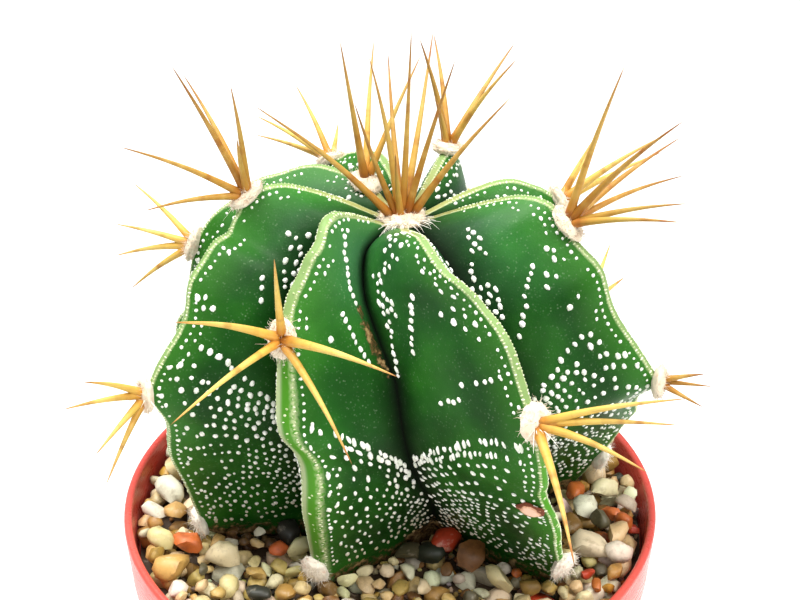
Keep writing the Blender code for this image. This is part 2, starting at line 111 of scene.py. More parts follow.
def moved(original, spot, turn, sizes, **marks):  # one copy, at a spot in metres, with its attributes
    scaled = Matrix.Diagonal((*(size * mm for size in sizes), 1.0))
    rows = np.array(Matrix.Translation(spot) @ turn.to_4x4() @ scaled)
    faces, coords = original
    return faces, coords @ rows[:3, :3].T + rows[:3, 3], marks


def copied(copies, sharp=180.0):  # each copy with a mesh of its own, in one piece
    coords, faces, values, start = [], [], {}, 0
    for copyFaces, copyCoords, marks in copies:
        coords.append(copyCoords)
        faces += [tuple(corner + start for corner in face) for face in copyFaces]
        for mark, value in marks.items():
            wide = 4 if mark == "tint" else 1
            spread = np.broadcast_to(np.reshape(value, (-1, wide)), (len(copyCoords), wide))
            values.setdefault(mark, []).append(spread)
        start += len(copyCoords)
    mesh = bpy.data.meshes.new("copies")
    mesh.from_pydata(np.vstack(coords).tolist(), [], faces)
    for mark, parts in values.items():
        setValues(mesh, mark, np.vstack(parts))
    piece = bpy.data.objects.new("copies", mesh)
    bpy.context.scene.collection.objects.link(piece)
    pick(piece)
    bpy.ops.object.shade_smooth_by_angle(angle=math.radians(sharp))
    return piece


# Colours and nodes

def colour(hexCode):  # sRGB hex to linear RGBA
    parts = [int(hexCode[i:i + 2], 16) / 255 for i in (1, 3, 5)]
    return [p / 12.92 if p <= 0.04045 else ((p + 0.055) / 1.055) ** 2.4 for p in parts] + [1.0]


def feed(tree, socket, value):  # another node's socket is linked, and a hex string is a colour
    if isinstance(value, bpy.types.NodeSocket):
        tree.links.new(value, socket)
    else:
        socket.default_value = colour(value) if isinstance(value, str) else value


def addNode(tree, kind, *values, give=None, stops=(), **named):
    # values fill the sockets in order; a name in lower case is a setting and any other a socket
    node = tree.nodes.new("ShaderNode" + kind)
    for name, value in named.items():
        if name.islower():
            setattr(node, name, value)
    for socket, value in zip([socket for socket in node.inputs if socket.enabled], values):
        feed(tree, socket, value)
    for name, value in named.items():
        if not name.islower():
            feed(tree, node.inputs[name], value)
    if stops:
        elements = node.color_ramp.elements
        while len(elements) < len(stops):
            elements.new(1.0)
        for element, (place, shade) in zip(elements, stops):
            element.position = place
            element.color = colour(shade)
    return node.outputs[give] if give else next(socket for socket in node.outputs if socket.enabled)


def startMaterial(name):  # the material, its own way to add a node, and its Object coordinates
    material = bpy.data.materials.new(name)
    material.use_nodes = True
    node = partial(addNode, material.node_tree)
    return material, node, node("TexCoord", give="Object")


def shaded(material, **sockets):  # feeds the shader's own sockets
    tree = material.node_tree
    for name, value in sockets.items():
        feed(tree, tree.nodes["Principled BSDF"].inputs[name.replace("_", " ")], value)
    return material


def perMetre(sizeMm):  # a texture's scale for a grain of this size
    return 1000.0 / sizeMm


# The stem, on the same outlines as the solid, with a finer mesh
stem = {
    "centre": (2.0, 2.0), "ground": 76.0, "undersideDepth": 2.7, "neckRadius": 8.0, "neckDepth": 22.0,
    # crest and groove at equal steps from the sunken crown to the foot of a rib
    "crestRadius": (3.0, 18.0, 25.0, 29.0, 34.0, 40.0, 38.5, 37.0, 31.0),
    "crestHeight": (54.5, 59.0, 57.0, 54.5, 48.5, 35.0, 27.0, 17.5, 0.0),
    "grooveRadius": (2.4, 10.0, 15.0, 18.5, 21.5, 23.0, 22.0, 18.0, 9.6),
    "grooveHeight": (54.1, 51.0, 47.5, 44.0, 38.0, 28.0, 20.5, 12.5, 0.0),
    "grooveLean": 0.14, "crestHalfWidth": 0.65, "crestDrop": 0.28, "crestWidthLimit": 0.35,
    "faceBulge": 1.1, "bulgeLimit": 0.08, "faceFocusDrop": 14.0, "crownShare": 0.12, "footStart": 0.7,
    "firstShare": 1 / 26, "rows": 190, "crownRows": 4,
    "crestSteps": (0.4, 0.75, 1.0),
    "faceSteps": (0.03, 0.08, 0.14, 0.21, 0.29, 0.38, 0.47, 0.56, 0.65, 0.73, 0.81, 0.88, 0.94, 0.98, 1.0),
    "undersideRings": ((0.06, 0.6), (0.2, 1.0), (1.0, 1.0)),
    "swell": 0.35, "swellGrain": 11.0, "pimple": 0.05, "pimpleGrain": 1.6,
}
# Compass angle of each rib at the crown, half way and near the foot, its reach and rise, and how
# far its foot turns aside; anticlockwise from above.
ribs = {
    "front_left": (-48, -36, -28, 0.78, 1.03, -7.5),
    "front_right": (10, 25, 31, 1.06, 1.04, 20),
    "right": (84, 66, 101, 1.02, 1.03, 0),
    "back_right": (114, 108, 137, 0.9, 0.99, 0),
    "back": (150, 162, 174, 0.83, 1.01, 0),
    "back_middle": (182, 203, 211, 1.05, 0.94, 0),
    "back_left": (202, 253, 247, 1.01, 0.96, 0),
    "left": (253, 292, 282, 1.04, 1.02, 0),
}
ribNames = list(ribs)
faces = range(2 * len(ribs))  # 0 and 1 are the two faces of the first groove, 2 and 3 of the next
# Half width of the front left crest above and below its middle areole; the others are narrow all along
wideCrest = {"rib": "front_left", "above": 0.9, "below": 1.8, "change": (0.5, 0.6)}
# Grooves that stand aside: millimetres, the share where they do most, and where it ends
grooveShifts = {"front_left": (-3.4, 0.14, 0.52), "front_right": (-3.2, 0.35, 0.95)}
# Grooves that drift sideways: share, millimetres anticlockwise from above, half width
grooveDrifts = {"front_left": ((1.0, 2.2, 0.22),)}
# Faces that bulge less than the others: the hidden one of the front right rib
flatFaces = {2: 0.2}
# Rises and dips of each crest, as share of the way down, millimetres out and half width
crestRipples = {
    "front_left": ((0.20, 0.3, 0.05), (0.40, -0.3, 0.05), (0.53, 0.4, 0.03), (0.66, 0.5, 0.04),
                   (0.76, -0.5, 0.04), (0.87, 0.4, 0.04)),
    "front_right": ((0.28, 0.3, 0.04), (0.38, -0.3, 0.04), (0.48, 0.35, 0.04), (0.573, 0.4, 0.025),
                    (0.65, -0.35, 0.03), (0.725, -0.3, 0.02), (0.78, 1.2, 0.035), (0.85, 0.2, 0.03)),
    "right": ((0.2, 1.1, 0.06), (0.34, -0.3, 0.04), (0.44, 0.3, 0.04), (0.53, -1.6, 0.06),
              (0.65, 0.5, 0.03), (0.75, -0.8, 0.05), (0.87, -0.5, 0.04)),
    "back_right": ((0.25, 0.3, 0.04), (0.49, -2.8, 0.08), (0.64, -0.3, 0.04), (0.78, 0.35, 0.04)),
    "back_left": ((0.3, 0.3, 0.05), (0.4, -0.3, 0.05), (0.62, -3.4, 0.075), (0.78, 0.35, 0.04)),
    "left": ((0.177, 0.1, 0.03), (0.3, -2.0, 0.06), (0.42, -0.6, 0.05), (0.54, -1.8, 0.045),
             (0.645, 0.4, 0.03), (0.75, -0.3, 0.04), (0.86, 0.3, 0.04), (1.0, 1.8, 0.07)),
}
plainRipples = ((0.25, 0.3, 0.04), (0.38, -0.3, 0.04), (0.5, 0.3, 0.05), (0.64, -0.3, 0.04),
                (0.78, 0.35, 0.04), (0.88, -0.3, 0.03))
# Crests that stray sideways: share, millimetres anticlockwise from above, half width
crestShifts = {
    "front_left": ((0.25, 1.0, 0.07), (0.49, -1.4, 0.09), (0.83, 1.8, 0.13)),
    "front_right": ((0.19, -2.5, 0.17), (0.9, -1.0, 0.05)),
}


def along(values, share):  # smooth curve through evenly spaced values
    last = len(values) - 1
    place = min(max(share, 0.0) * last, last - 1e-9)
    i = int(place)
    u = place - i
    before = values[i - 1] if i else 2 * values[0] - values[1]
    after = values[i + 2] if i + 2 <= last else 2 * values[last] - values[last - 1]
    here, there = values[i], values[i + 1]
    return 0.5 * (2 * here + (there - before) * u + (2 * before - 5 * here + 4 * there - after) * u * u
                  + (3 * here - before - 3 * there + after) * u ** 3)


def humps(places, share):  # sum of smooth humps, each as share, height and half width
    return sum(height * math.exp(-((share - place) / width) ** 2) for place, height, width in places)


def ownerOf(face):  # the rib that a face belongs to
    return ribNames[(face + 1) // 2 % len(ribNames)]


def ribAngle(rib, share):
    crown, middle, foot, _, _, aside = ribs[rib]
    u = 2 * share - 1
    low = max(share - stem["footStart"], 0) / (1 - stem["footStart"])
    sweep = middle + (foot - crown) / 2 * u + ((crown + foot) / 2 - middle) * u * u
    return math.radians(sweep + aside * low * low)


def anticlockwise(angle):  # level direction across a rib at this compass angle
    return Vector((math.cos(angle), math.sin(angle), 0))


def fromCompass(angle, radius, height):
    x, y = stem["centre"]
    return Vector((x + radius * math.sin(angle), y - radius * math.cos(angle), stem["ground"] + height))


def ribRise(rib, share):
    return 1 + (ribs[rib][4] - 1) * (1 - share) * min(share / stem["crownShare"], 1)


def crestPoint(rib, share):
    radius = along(stem["crestRadius"], share) * ribs[rib][3]
    height = along(stem["crestHeight"], share) * ribRise(rib, share)
    # a ripple pushes square to the crest's own outline
    slope = Vector([along(stem[key], share + 0.01) - along(stem[key], share - 0.01)
                    for key in ("crestRadius", "crestHeight")])
    push = Vector((-slope.y, slope.x)).normalized() * humps(crestRipples.get(rib, plainRipples), share)
    angle = ribAngle(rib, share)
    point = fromCompass(angle, radius + push.x, height + push.y)
    return point + anticlockwise(angle) * humps(crestShifts.get(rib, ()), share)


def crestHalf(rib, share):  # half the width of the crest's flat band
    if rib != wideCrest["rib"]:
        return stem["crestHalfWidth"]
    start, end = wideCrest["change"]
    blend = min(max((share - start) / (end - start), 0), 1)
    return wideCrest["above"] + (wideCrest["below"] - wideCrest["above"]) * blend


def groovePoint(rib, nextRib, share):
    first, second = ribAngle(rib, share), ribAngle(nextRib, share)
    if second < first:
        second += math.tau
    reach = (ribs[rib][3] + ribs[nextRib][3]) / 2
    rise = (ribRise(rib, share) + ribRise(nextRib, share)) / 2
    middle = first + (second - first) * (0.5 + stem["grooveLean"] * share * share)
    point = fromCompass(middle, along(stem["grooveRadius"], share) * reach,
                        along(stem["grooveHeight"], share) * rise)
    aside, most, end = grooveShifts.get(rib, (0.0, 0.5, 0.0))
    drift = 0.0
    if share < end:
        away = (most - share) / most if share < most else (share - most) / (end - most)
        drift = aside * (1 - away * away)
    drift += humps(grooveDrifts.get(rib, ()), share)
    return point + anticlockwise(middle) * drift


def faceSection(face, share):
    rib, nextRib = ribNames[face // 2], ribNames[(face // 2 + 1) % len(ribNames)]
    owner = ownerOf(face)
    crest, groove = crestPoint(owner, share), groovePoint(rib, nextRib, share)
    aside = anticlockwise(ribAngle(owner, share)) * (-1 if face % 2 else 1)
    focus = fromCompass(0, 0, along(stem["grooveHeight"], share) - stem["faceFocusDrop"])
    outward = (groove - focus).normalized()
    reach = groove - crest
    width = min(crestHalf(owner, share), reach.dot(aside) * stem["crestWidthLimit"])
    inward = (reach - aside * reach.dot(aside)).normalized()
    drop = stem["crestDrop"] * width / stem["crestHalfWidth"]
    edge = crest + aside * width + inward * drop
    across = (groove - edge).normalized()
    swell = min(stem["faceBulge"], reach.length * stem["bulgeLimit"]) * flatFaces.get(face, 1.0)
    bulge = (outward - across * outward.dot(across)).normalized() * swell
    return {"crest": crest, "groove": groove, "edge": edge, "bulge": bulge, "aside": aside * width,
            "inward": inward * drop}


def onFace(section, step):  # step 0 is the crest's middle, 1 its edge and 2 the groove
    if step <= 1:
        return section["crest"] + section["aside"] * step + section["inward"] * step ** 3
    u = step - 1
    return section["edge"].lerp(section["groove"], u) + section["bulge"] * math.sin(math.pi * u)


def drawnIn(row, radius, share, height):  # a level ring, drawn in towards a circle round the axis
    centre = Vector(stem["centre"])
    ring = []
    for point in row:
        flat = point.xy - centre
        flat = centre + flat.lerp(flat.normalized() * radius, share)
        ring.append(Vector((flat.x, flat.y, stem["ground"] + height)))
    return ring


def stemColumns():  # face and step of each column of the mesh
    steps = [0.0, *stem["crestSteps"], *(1 + step for step in stem["faceSteps"])]
    return [(face, step) for face in faces for step in (steps[:0:-1] if face % 2 else steps[:-1])]


def stemRows(columns):  # points, and the share of each row
    rows, shares = [], []
    for i in range(stem["rows"] + 1):
        share = stem["firstShare"] + (1 - stem["firstShare"]) * i / stem["rows"]
        sections = [faceSection(face, share) for face in faces]
        rows.append([onFace(sections[face], step) for face, step in columns])
        shares.append(share)
    crown = drawnIn(rows[0], stem["crestRadius"][0], 1.0, stem["crestHeight"][0])
    first, foot = rows[0], rows[-1]
    for i in range(stem["crownRows"] - 1, -1, -1):
        blend = i / stem["crownRows"]
        rows.insert(0, [a.lerp(b, blend) for a, b in zip(crown, first)])
        shares.insert(0, stem["firstShare"] * blend)
    for drawn, depth in stem["undersideRings"]:
        rows.append(drawnIn(foot, stem["neckRadius"], drawn, -stem["undersideDepth"] * depth))
    rows.append(drawnIn(foot, stem["neckRadius"], 1.0, -stem["neckDepth"]))
    return rows, shares + [1.0] * (len(rows) - len(shares))


# Where a tone of the skin starts and how far on it is full, and how wide the painted shade of the groove is
# by share
tones = {
    "wideBand": (1.1, 0.3), "lowCrest": (0.58, 0.06), "sheenTop": (0.42, -0.2),
    "shadeShares": (0.3, 0.85), "shadeWidths": (0.28, 1.0), "crease": 1.99,
}


def reached(values, tone):
    start, over = tones[tone]
    return np.clip((values - start) / over, 0, 1)


def buildStem(material):
    columns = stemColumns()
    rows, shares = stemRows(columns)
    deselect()
    bpy.ops.mesh.primitive_grid_add(x_subdivisions=len(columns), y_subdivisions=len(rows) - 1, size=2)
    piece = bpy.context.object
    mesh = piece.data
    grid = readList(mesh.vertices, "co", 3)
    column = np.rint((grid[:, 0] + 1) / 2 * len(columns)).astype(int) % len(columns)
    row = np.rint((1 - grid[:, 1]) / 2 * (len(rows) - 1)).astype(int)
    points = np.array([[tuple(point) for point in line] for line in rows])
    placed = points[row, column]
    mesh.vertices.foreach_set("co", (placed * mm).ravel())
    face = np.array([face for face, _ in columns])[column]
    share = np.array(shares)[row]
    # how far each point lies from the crest's middle and from the groove
    crestColumn = np.array([columns.index(((k + k % 2) % len(faces), 0.0)) for k in faces])
    grooveColumn = np.array([columns.index((k | 1, 2.0)) for k in faces])
    crestMm, grooveMm = (np.linalg.norm(placed - points[row, line[face]], axis=1)
                         for line in (crestColumn, grooveColumn))
    bandHalf = np.array([crestHalf(ownerOf(k), s) for k, s in zip(face, share)])
    wide, low = reached(bandHalf, "wideBand"), reached(share, "lowCrest")
    grooveShadeWidth = np.where(face < 2, np.interp(share, tones["shadeShares"], tones["shadeWidths"]), 1.0)
    frontRight = np.array([ownerOf(k) == "front_right" for k in face])
    marks = {
        "crestMm": crestMm, "grooveMm": grooveMm, "band": crestMm / bandHalf, "share": share,
        "step": np.array([step for _, step in columns])[column],
        # the wide band is fresh green on its right half, and so is the front right rib's lower crest
        "greenBand": np.where(frontRight, low, wide * (face == 0)), "paleBand": wide * (face != 0),
        # painted shade darkens each groove, in a narrow line at the top of the front one, and painted sheen
        # pales one face beside it there
        "grooveShadeMm": grooveMm / grooveShadeWidth, "sheenFace": reached(share, "sheenTop") * (face == 0),
    }
    for name, values in marks.items():
        setValues(mesh, name, values)
    pick(piece)
    bpy.ops.object.mode_set(mode="EDIT")
    bpy.ops.mesh.select_all(action="SELECT")
    bpy.ops.mesh.remove_doubles(threshold=0.000002)
    closeUp()
    swellFaces(mesh)
    bpy.ops.object.shade_smooth()
    # the bottom of each groove is a crease
    deep = readList(mesh.attributes["step"].data, "value") > tones["crease"]
    crease = mesh.attributes.new("sharp_edge", "BOOLEAN", "EDGE")
    crease.data.foreach_set("value", [bool(deep[list(edge.vertices)].all()) for edge in mesh.edges])
    print("stem:", len(mesh.vertices), "vertices")
    settle(piece, "ribbedStem", material, "skin", "stem")
    return piece


def swellFaces(mesh):  # uneven growth: faces swell and dent a little between crest and groove
    coords, normals = (readList(mesh.vertices, key, 3) for key in ("co", "normal"))
    crestMm, grooveMm = (readList(mesh.attributes[key].data, "value") for key in ("crestMm", "grooveMm"))
    room = np.clip((crestMm - 1.0) / 3.0, 0, 1) * np.clip(grooveMm / 3.0, 0, 1)
    for i in np.flatnonzero(coords[:, 2] / mm > stem["ground"] + 1):
        p = Vector(coords[i]) / mm
        swell = noise.noise(p / stem["swellGrain"]) * stem["swell"] * room[i]
        pimple = noise.noise(p / stem["pimpleGrain"]) * stem["pimple"]
        coords[i] += normals[i] * (swell + pimple) * mm
    mesh.vertices.foreach_set("co", coords.ravel())
    mesh.update()


def skinMaterial():
    # Waxy cactus epidermis, grown: dark green and half glossy, paler and yellower at the crests.
    material, node, place = startMaterial("cactus epidermis, grown")
    crest, dark, band, share, cork, greenBand, paleBand, sheenFace = (
        node("Attribute", give="Fac", attribute_name=name)
        for name in ("crestMm", "grooveShadeMm", "band", "share", "cork", "greenBand", "paleBand", "sheenFace"))
    # broad patches of deeper and fresher green
    green = node("ValToRGB", node("TexNoise", place, perMetre(12), 3.0),
                 stops=((0.3, "#0B3409"), (0.5, "#13480F"), (0.68, "#226017")))
    # thin grey wax bloom on the upper faces, partly painted sheen where light falls from above, and painted
    # sheen on one face by the front groove
    wax = node("TexNoise", place, perMetre(8), 4.0)
    waxAndSheen = node("Math", wax, node("MapRange", share, 0.5, 0.08, 0.0, 0.6), operation="MULTIPLY")
    waxAndSheen = node("Math", sheenFace, 0.5, waxAndSheen, operation="MULTIPLY_ADD")
    # towards the crest the skin turns fresh yellow-green
    fresh = node("MapRange", crest, 7.0, 0.8, 0.0, 0.5)
    # fine pale specks of loose wool scales, drawn at 0.3 mm so that they show
    dots = node("MapRange", node("TexVoronoi", place, perMetre(0.5)), 0.34, 0.14)
    where = node("MapRange", node("TexNoise", place, perMetre(1.5), 6.0, 0.75), 0.46, 0.7, 0.0, 0.38)
    specks = node("Math", dots, where, operation="MULTIPLY")
    # painted shade darkens the groove, and brown cork creeps up from the soil
    paintedGrooveShade = node("MapRange", dark, 9.0, 0.2, 0.0, 0.97)
    layers = node("TexNoise", place, perMetre(1.2), 5.0, 0.65)
    corkMask = node("MapRange", node("Math", cork, layers, operation="ADD"), 0.9, 1.05)
    brown = node("ValToRGB", layers, stops=((0.35, "#24160B"), (0.52, "#664A2A"), (0.68, "#A98F62")))
    for mask, shade in ((waxAndSheen, "#41764C"), (fresh, "#3F8028"), (specks, "#94AF8C"), (paintedGrooveShade, "#020802"),
                        (corkMask, brown)):
        green = node("Mix", mask, green, shade, data_type="RGBA")
    # the crest's band: pale lime, or fresh green where it is wide, with a cream line at each edge
    felt = node("TexNoise", place, perMetre(0.7), 3.0)
    edgeLine = node("Math", node("MapRange", band, 0.5, 0.95), node("MapRange", felt, 0.35, 0.6),
                    operation="MULTIPLY")
    lime = "#809B60"
    for mask, shade in ((paleBand, "#A7B688"), (node("MapRange", share, 0.12, 0.03, 0.0, 0.5), "#A98E55"),
                        (greenBand, "#4A8A22"), (edgeLine, "#C0C99C")):
        lime = node("Mix", mask, lime, shade, data_type="RGBA")
    bandEnd = node("Math", felt, 0.8, band, operation="MULTIPLY_ADD")
    skin = node("Mix", node("MapRange", bandEnd, 1.85, 1.35, 0.0, 0.95), green, lime, data_type="RGBA")
    gloss = node("Math", node("MapRange", wax, 0.3, 0.7, 0.34, 0.5),
                 node("MapRange", dark, 7.0, 0.5, 0.0, 0.85), operation="MAXIMUM")
    # the cell texture of the epidermis, 0.3 mm, over soft dimples, and the relief of the cork
    cells = node("TexNoise", place, perMetre(0.3), 2.0)
    dimples = node("TexNoise", place, perMetre(2.5), 3.0)
    bump = node("Bump", Height=cells, Strength=0.5, Distance=0.05 * mm)
    bump = node("Bump", Height=dimples, Strength=0.5, Distance=0.12 * mm, Normal=bump)
    bump = node("Bump", Height=corkMask, Strength=0.7, Distance=0.3 * mm, Normal=bump)
    return shaded(material, Base_Color=skin, Roughness=gloss, IOR=1.4, Specular_IOR_Level=0.17, Normal=bump,
                  Subsurface_Weight=0.06, Subsurface_Radius=(0.5, 1.0, 0.2), Subsurface_Scale=1.2 * mm)


# Cork: a streak in the front groove, a scar on the front right rib and stains along the soil
corkMarks = {
    "streakFace": 0, "streakShares": (0.34, 0.51), "streakSteps": (1.76, 1.93), "streakWide": 1.3,
    "scar": (1, 0.776, 1.11), "scarSizes": (4.0, 5.4, 0.4), "stainHeight": 12.0, "stainGroove": 7.0,
    "footHeight": 3.5, "stainStrength": 0.62, "footStrength": 0.55,
}


def paintCork(piece):
    coords = readList(piece.data.vertices, "co", 3) / mm
    groove = readList(piece.data.attributes["grooveMm"].data, "value")
    height = coords[:, 2] - stem["ground"]
    stain = (np.clip(1 - height / corkMarks["stainHeight"], 0, 1)
             * np.clip(1 - groove / corkMarks["stainGroove"], 0, 1))
    foot = np.clip(1 - height / corkMarks["footHeight"], 0, 1)
    cork = corkMarks["stainStrength"] * stain + corkMarks["footStrength"] * foot
    (low, high), (first, last) = corkMarks["streakShares"], corkMarks["streakSteps"]
    for u in np.linspace(0, 1, 40):
        section = faceSection(corkMarks["streakFace"], low + (high - low) * u)
        near = np.linalg.norm(coords - np.array(onFace(section, first + (last - first) * u)), axis=1)
        thickness = corkMarks["streakWide"] * (0.55 + 0.45 * math.sin(math.pi * u))
        cork = np.maximum(cork, np.clip(1.15 - near / thickness, 0, 0.5))
    setValues(piece.data, "cork", cork)


def buildScar(tree, material):  # a flake of dry cork that lifts off the skin
    flake = ball(3, lambda p: p * (1 + 0.35 * noise.noise(p * 1.6)))
    rim = [min(1.0, Vector(point).xy.length) for point in flake[1]]
    seat = onSkin(tree, *corkMarks["scar"], corkMarks["scarSizes"], random.Random(2))
    settle(copied([moved(flake, *seat, rim=rim)]), "corkFlake", material, "skin")


def scarMaterial():
    # Dry cork over an old wound: beige pink, brown at its curling rim.
    material, node, place = startMaterial("cork over a wound, dry")
    layers = node("TexNoise", place, perMetre(0.6), 4.0)
    edge = node("Math", node("Attribute", give="Fac", attribute_name="rim"),
                node("Math", layers, 0.5, operation="ADD"), operation="MULTIPLY")
    shade = node("ValToRGB", edge, stops=((0.5, "#E9C3AA"), (0.72, "#CF9876"), (0.84, "#6B3218")))
    bump = node("Bump", Height=layers, Strength=0.7, Distance=0.15 * mm)
    return shaded(material, Base_Color=shade, Roughness=0.8, IOR=1.45, Normal=bump)


# Flecks: tufts of white scales in arcs that fall towards the groove
fleck = {
    "long": 1.2, "wide": 0.74, "high": 0.28, "jitter": 0.25, "seed": 5,
    # an arc's highest place across the face, its fall to the groove and its rise from the crest, for
    # the first arc and the last
    "peak": (0.22, 0.62), "fall": (0.1, 0.05), "rise": (0.01, 0.13), "lastArc": 0.985,
    "edgeRow": 2.0, "edgeGap": 1.15, "crossLean": -0.5, "crossUnder": 0.7,
    "chainWidth": 1.35, "chainGap": 0.95, "chainTries": 12,
}
# Arcs of each face: share of the first, how many are bold, then millimetres between arcs, millimetres
# between flecks, fleck size and how far a fleck is drawn out down the face, for the bold, the middle
# and the last arcs; drawn out less than crossUnder they lie across it, turned by crossLean
fleckArcs = {
    0: (0.635, 2, (2.5, 1.15, 1.1, 1.18), (2.2, 2.2, 1.0, 1.05), (1.8, 1.8, 0.82, 1.0)),
    1: (0.6, 2, (2.4, 0.95, 0.95, 1.18), (2.1, 1.85, 0.82, 0.66), (1.75, 1.55, 0.72, 0.66)),
    3: (0.53, 3, (2.0, 1.4, 1.0, 0.9), (2.0, 1.6, 0.9, 0.9), (1.6, 1.4, 0.8, 0.9)),
    14: (0.56, 1, (2.3, 1.4, 1.05, 0.9), (2.1, 1.6, 0.92, 0.9), (1.7, 1.35, 0.75, 0.9)),
}
# Loose chains above the arcs: share and place across the face at both ends, count, width in columns
fleckChains = {
    0: ((0.13, 0.3, 0.34, 0.68, 14, 1), (0.42, 0.48, 0.5, 0.73, 8, 1), (0.5, 0.35, 0.5, 0.35, 1, 1)),
    1: ((0.1, 0.3, 0.2, 0.5, 12, 4), (0.23, 0.7, 0.36, 0.78, 17, 3), (0.36, 0.8, 0.5, 0.95, 10, 1),
        (0.32, 0.46, 0.46, 0.72, 8, 1), (0.24, 0.17, 0.46, 0.13, 8, 2), (0.38, 0.3, 0.43, 0.2, 3, 1),
        (0.52, 0.12, 0.525, 0.26, 4, 1), (0.53, 0.4, 0.53, 0.4, 1, 1), (0.555, 0.6, 0.55, 0.47, 4, 1)),
    3: ((0.12, 0.58, 0.18, 0.7, 8, 2), (0.19, 0.8, 0.27, 0.9, 6, 1), (0.27, 0.8, 0.38, 0.86, 16, 3),
        (0.3, 0.35, 0.46, 0.76, 9, 1), (0.29, 0.2, 0.3, 0.16, 2, 1), (0.35, 0.22, 0.38, 0.36, 4, 2),
        (0.46, 0.2, 0.47, 0.33, 2, 1)),
    14: ((0.19, 0.55, 0.4, 0.86, 20, 3), (0.36, 0.12, 0.36, 0.12, 1, 1), (0.38, 0.5, 0.43, 0.55, 3, 1),
         (0.49, 0.1, 0.5, 0.2, 4, 2)),
}


def faceScale(face, share):  # millimetres down the face for a share of one, and across it for a step
    here, ahead = faceSection(face, share), faceSection(face, min(share + 0.01, 1.0))
    return ((onFace(ahead, 1.5) - onFace(here, 1.5)).length / 0.01,
            max((here["groove"] - here["edge"]).length, 2.0))


def arcShare(base, first, place):  # where an arc crosses this place, 0 at the crest and 1 in the groove
    low = min(max((base - first) / (fleck["lastArc"] - first), 0), 1)
    peak, fall, rise = (a + (b - a) * low for a, b in (fleck["peak"], fleck["fall"], fleck["rise"]))
    if place > peak:
        return base + fall * ((place - peak) / (1 - peak)) ** 1.7
    return base + rise * ((peak - place) / peak) ** 1.7


def arcFlecks(face, rng, likeFace):  # share, step, size and stretch along every arc of one face
    first, boldRows, *kinds = fleckArcs[likeFace]
    found, base, number = [], first, 0
    while base < fleck["lastArc"]:
        low = (base - first) / (fleck["lastArc"] - first)
        kind = 0 if number < boldRows else 1 if low < 0.5 else 2
        rowGap, gap, size, stretch = kinds[kind]
        place, last, seed = 0.05 + rng.uniform(0, 0.03), None, rng.uniform(0, 99)
        while place < 0.97:
            share = arcShare(base, first, place)
            if share > 0.985:
                place += 0.01
                continue
            point = onFace(faceSection(face, share), 1 + place)
            spacing = gap * rng.uniform(0.85, 1.15) * (1.0 - 0.3 * max(place - 0.5, 0))
            if last is None or (point - last).length > spacing:
                last = point
                patch = noise.noise(Vector((place * 4, seed, face)))
                if rng.random() < 0.9 + (0.3 if kind == 0 else 0.6) * patch - 0.25 * (place < 0.16):
                    grown = size * rng.uniform(0.78, 1.18) * (1 - 0.2 * low * place)
                    seat = (share + rng.gauss(0, 0.002), 1 + place + rng.gauss(0, 0.008))
                    found.append((*seat, grown, stretch))
            place += 0.008
        base += rowGap * rng.uniform(0.9, 1.1) / faceScale(face, min(base, 0.95))[0]
        number += 1
    return found


def chainFlecks(face, rng, likeFace):  # loose chains and clusters on the upper face
    found, spots, guessed = [], [], face not in fleckChains
    drift = rng.uniform(-0.04, 0.04) if guessed else 0
    for startShare, startPlace, endShare, endPlace, count, columns in fleckChains[likeFace]:
        if guessed and rng.random() < 0.25:
            continue
        scatter = (columns - 0.6) * fleck["chainWidth"]
        for i in range(count):
            for _ in range(fleck["chainTries"]):
                u = (i + rng.uniform(-0.35, 0.35)) / max(count - 1, 1)
                share = startShare + (endShare - startShare) * u + drift
                place = startPlace + (endPlace - startPlace) * u + drift
                alongMm, acrossMm = faceScale(face, min(max(share, 0.06), 0.98))
                share += rng.uniform(-0.5, 0.5) * scatter / alongMm
                place += rng.uniform(-0.5, 0.5) * scatter / acrossMm
                if not (0.07 < share < 0.98 and 0.05 < place < 0.97):
                    continue
                spot = onFace(faceSection(face, share), 1 + place)
                if all((spot - other).length > fleck["chainGap"] for other in spots):
                    spots.append(spot)
                    found.append((share, 1 + place, rng.uniform(0.7, 1.05), rng.uniform(0.82, 0.98)))
                    break
    return found


def edgeFlecks(face, rng):  # a row of small dots beside the crest, doubled in places
    found, last = [], None
    for i in range(700):
        share = 0.06 + 0.92 * i / 700
        section = faceSection(face, share)
        length = (section["groove"] - section["edge"]).length
        step = 1 + (fleck["edgeRow"] - 0.9 + 0.4 * noise.noise(Vector((share * 14, face, 2)))) / length
        point = onFace(section, step)
        if last is None or (point - last).length > fleck["edgeGap"]:
            last = point
            if rng.random() < 0.75:
                found.append((share, step, rng.uniform(0.42, 0.66), 0.8))
            if noise.noise(Vector((share * 8, face, 7))) > 0.0 and rng.random() < 0.75:
                outer = step + rng.uniform(1.0, 1.5) / length
                found.append((share + 0.006, outer, rng.uniform(0.45, 0.7), 0.9))
    return found


def onSkin(tree, face, share, step, sizes, rng, lean=0.0):  # spot, turn and half sizes of a tuft on the skin
    here, ahead = (onFace(faceSection(face, place), step) for place in (share, min(share + 0.01, 1.0)))
    spot, normal, _, _ = tree.find_nearest(here * mm)
    down = (ahead - here) - normal * (ahead - here).dot(normal)
    down = Matrix.Rotation(lean + rng.gauss(0, 0.2), 3, normal) @ down.normalized()
    turn = Matrix((down, normal.cross(down), normal)).transposed()
    long, wide, high = sizes
    return spot, turn, (long * rng.uniform(0.85, 1.2) / 2, wide * rng.uniform(0.85, 1.2) / 2, high)


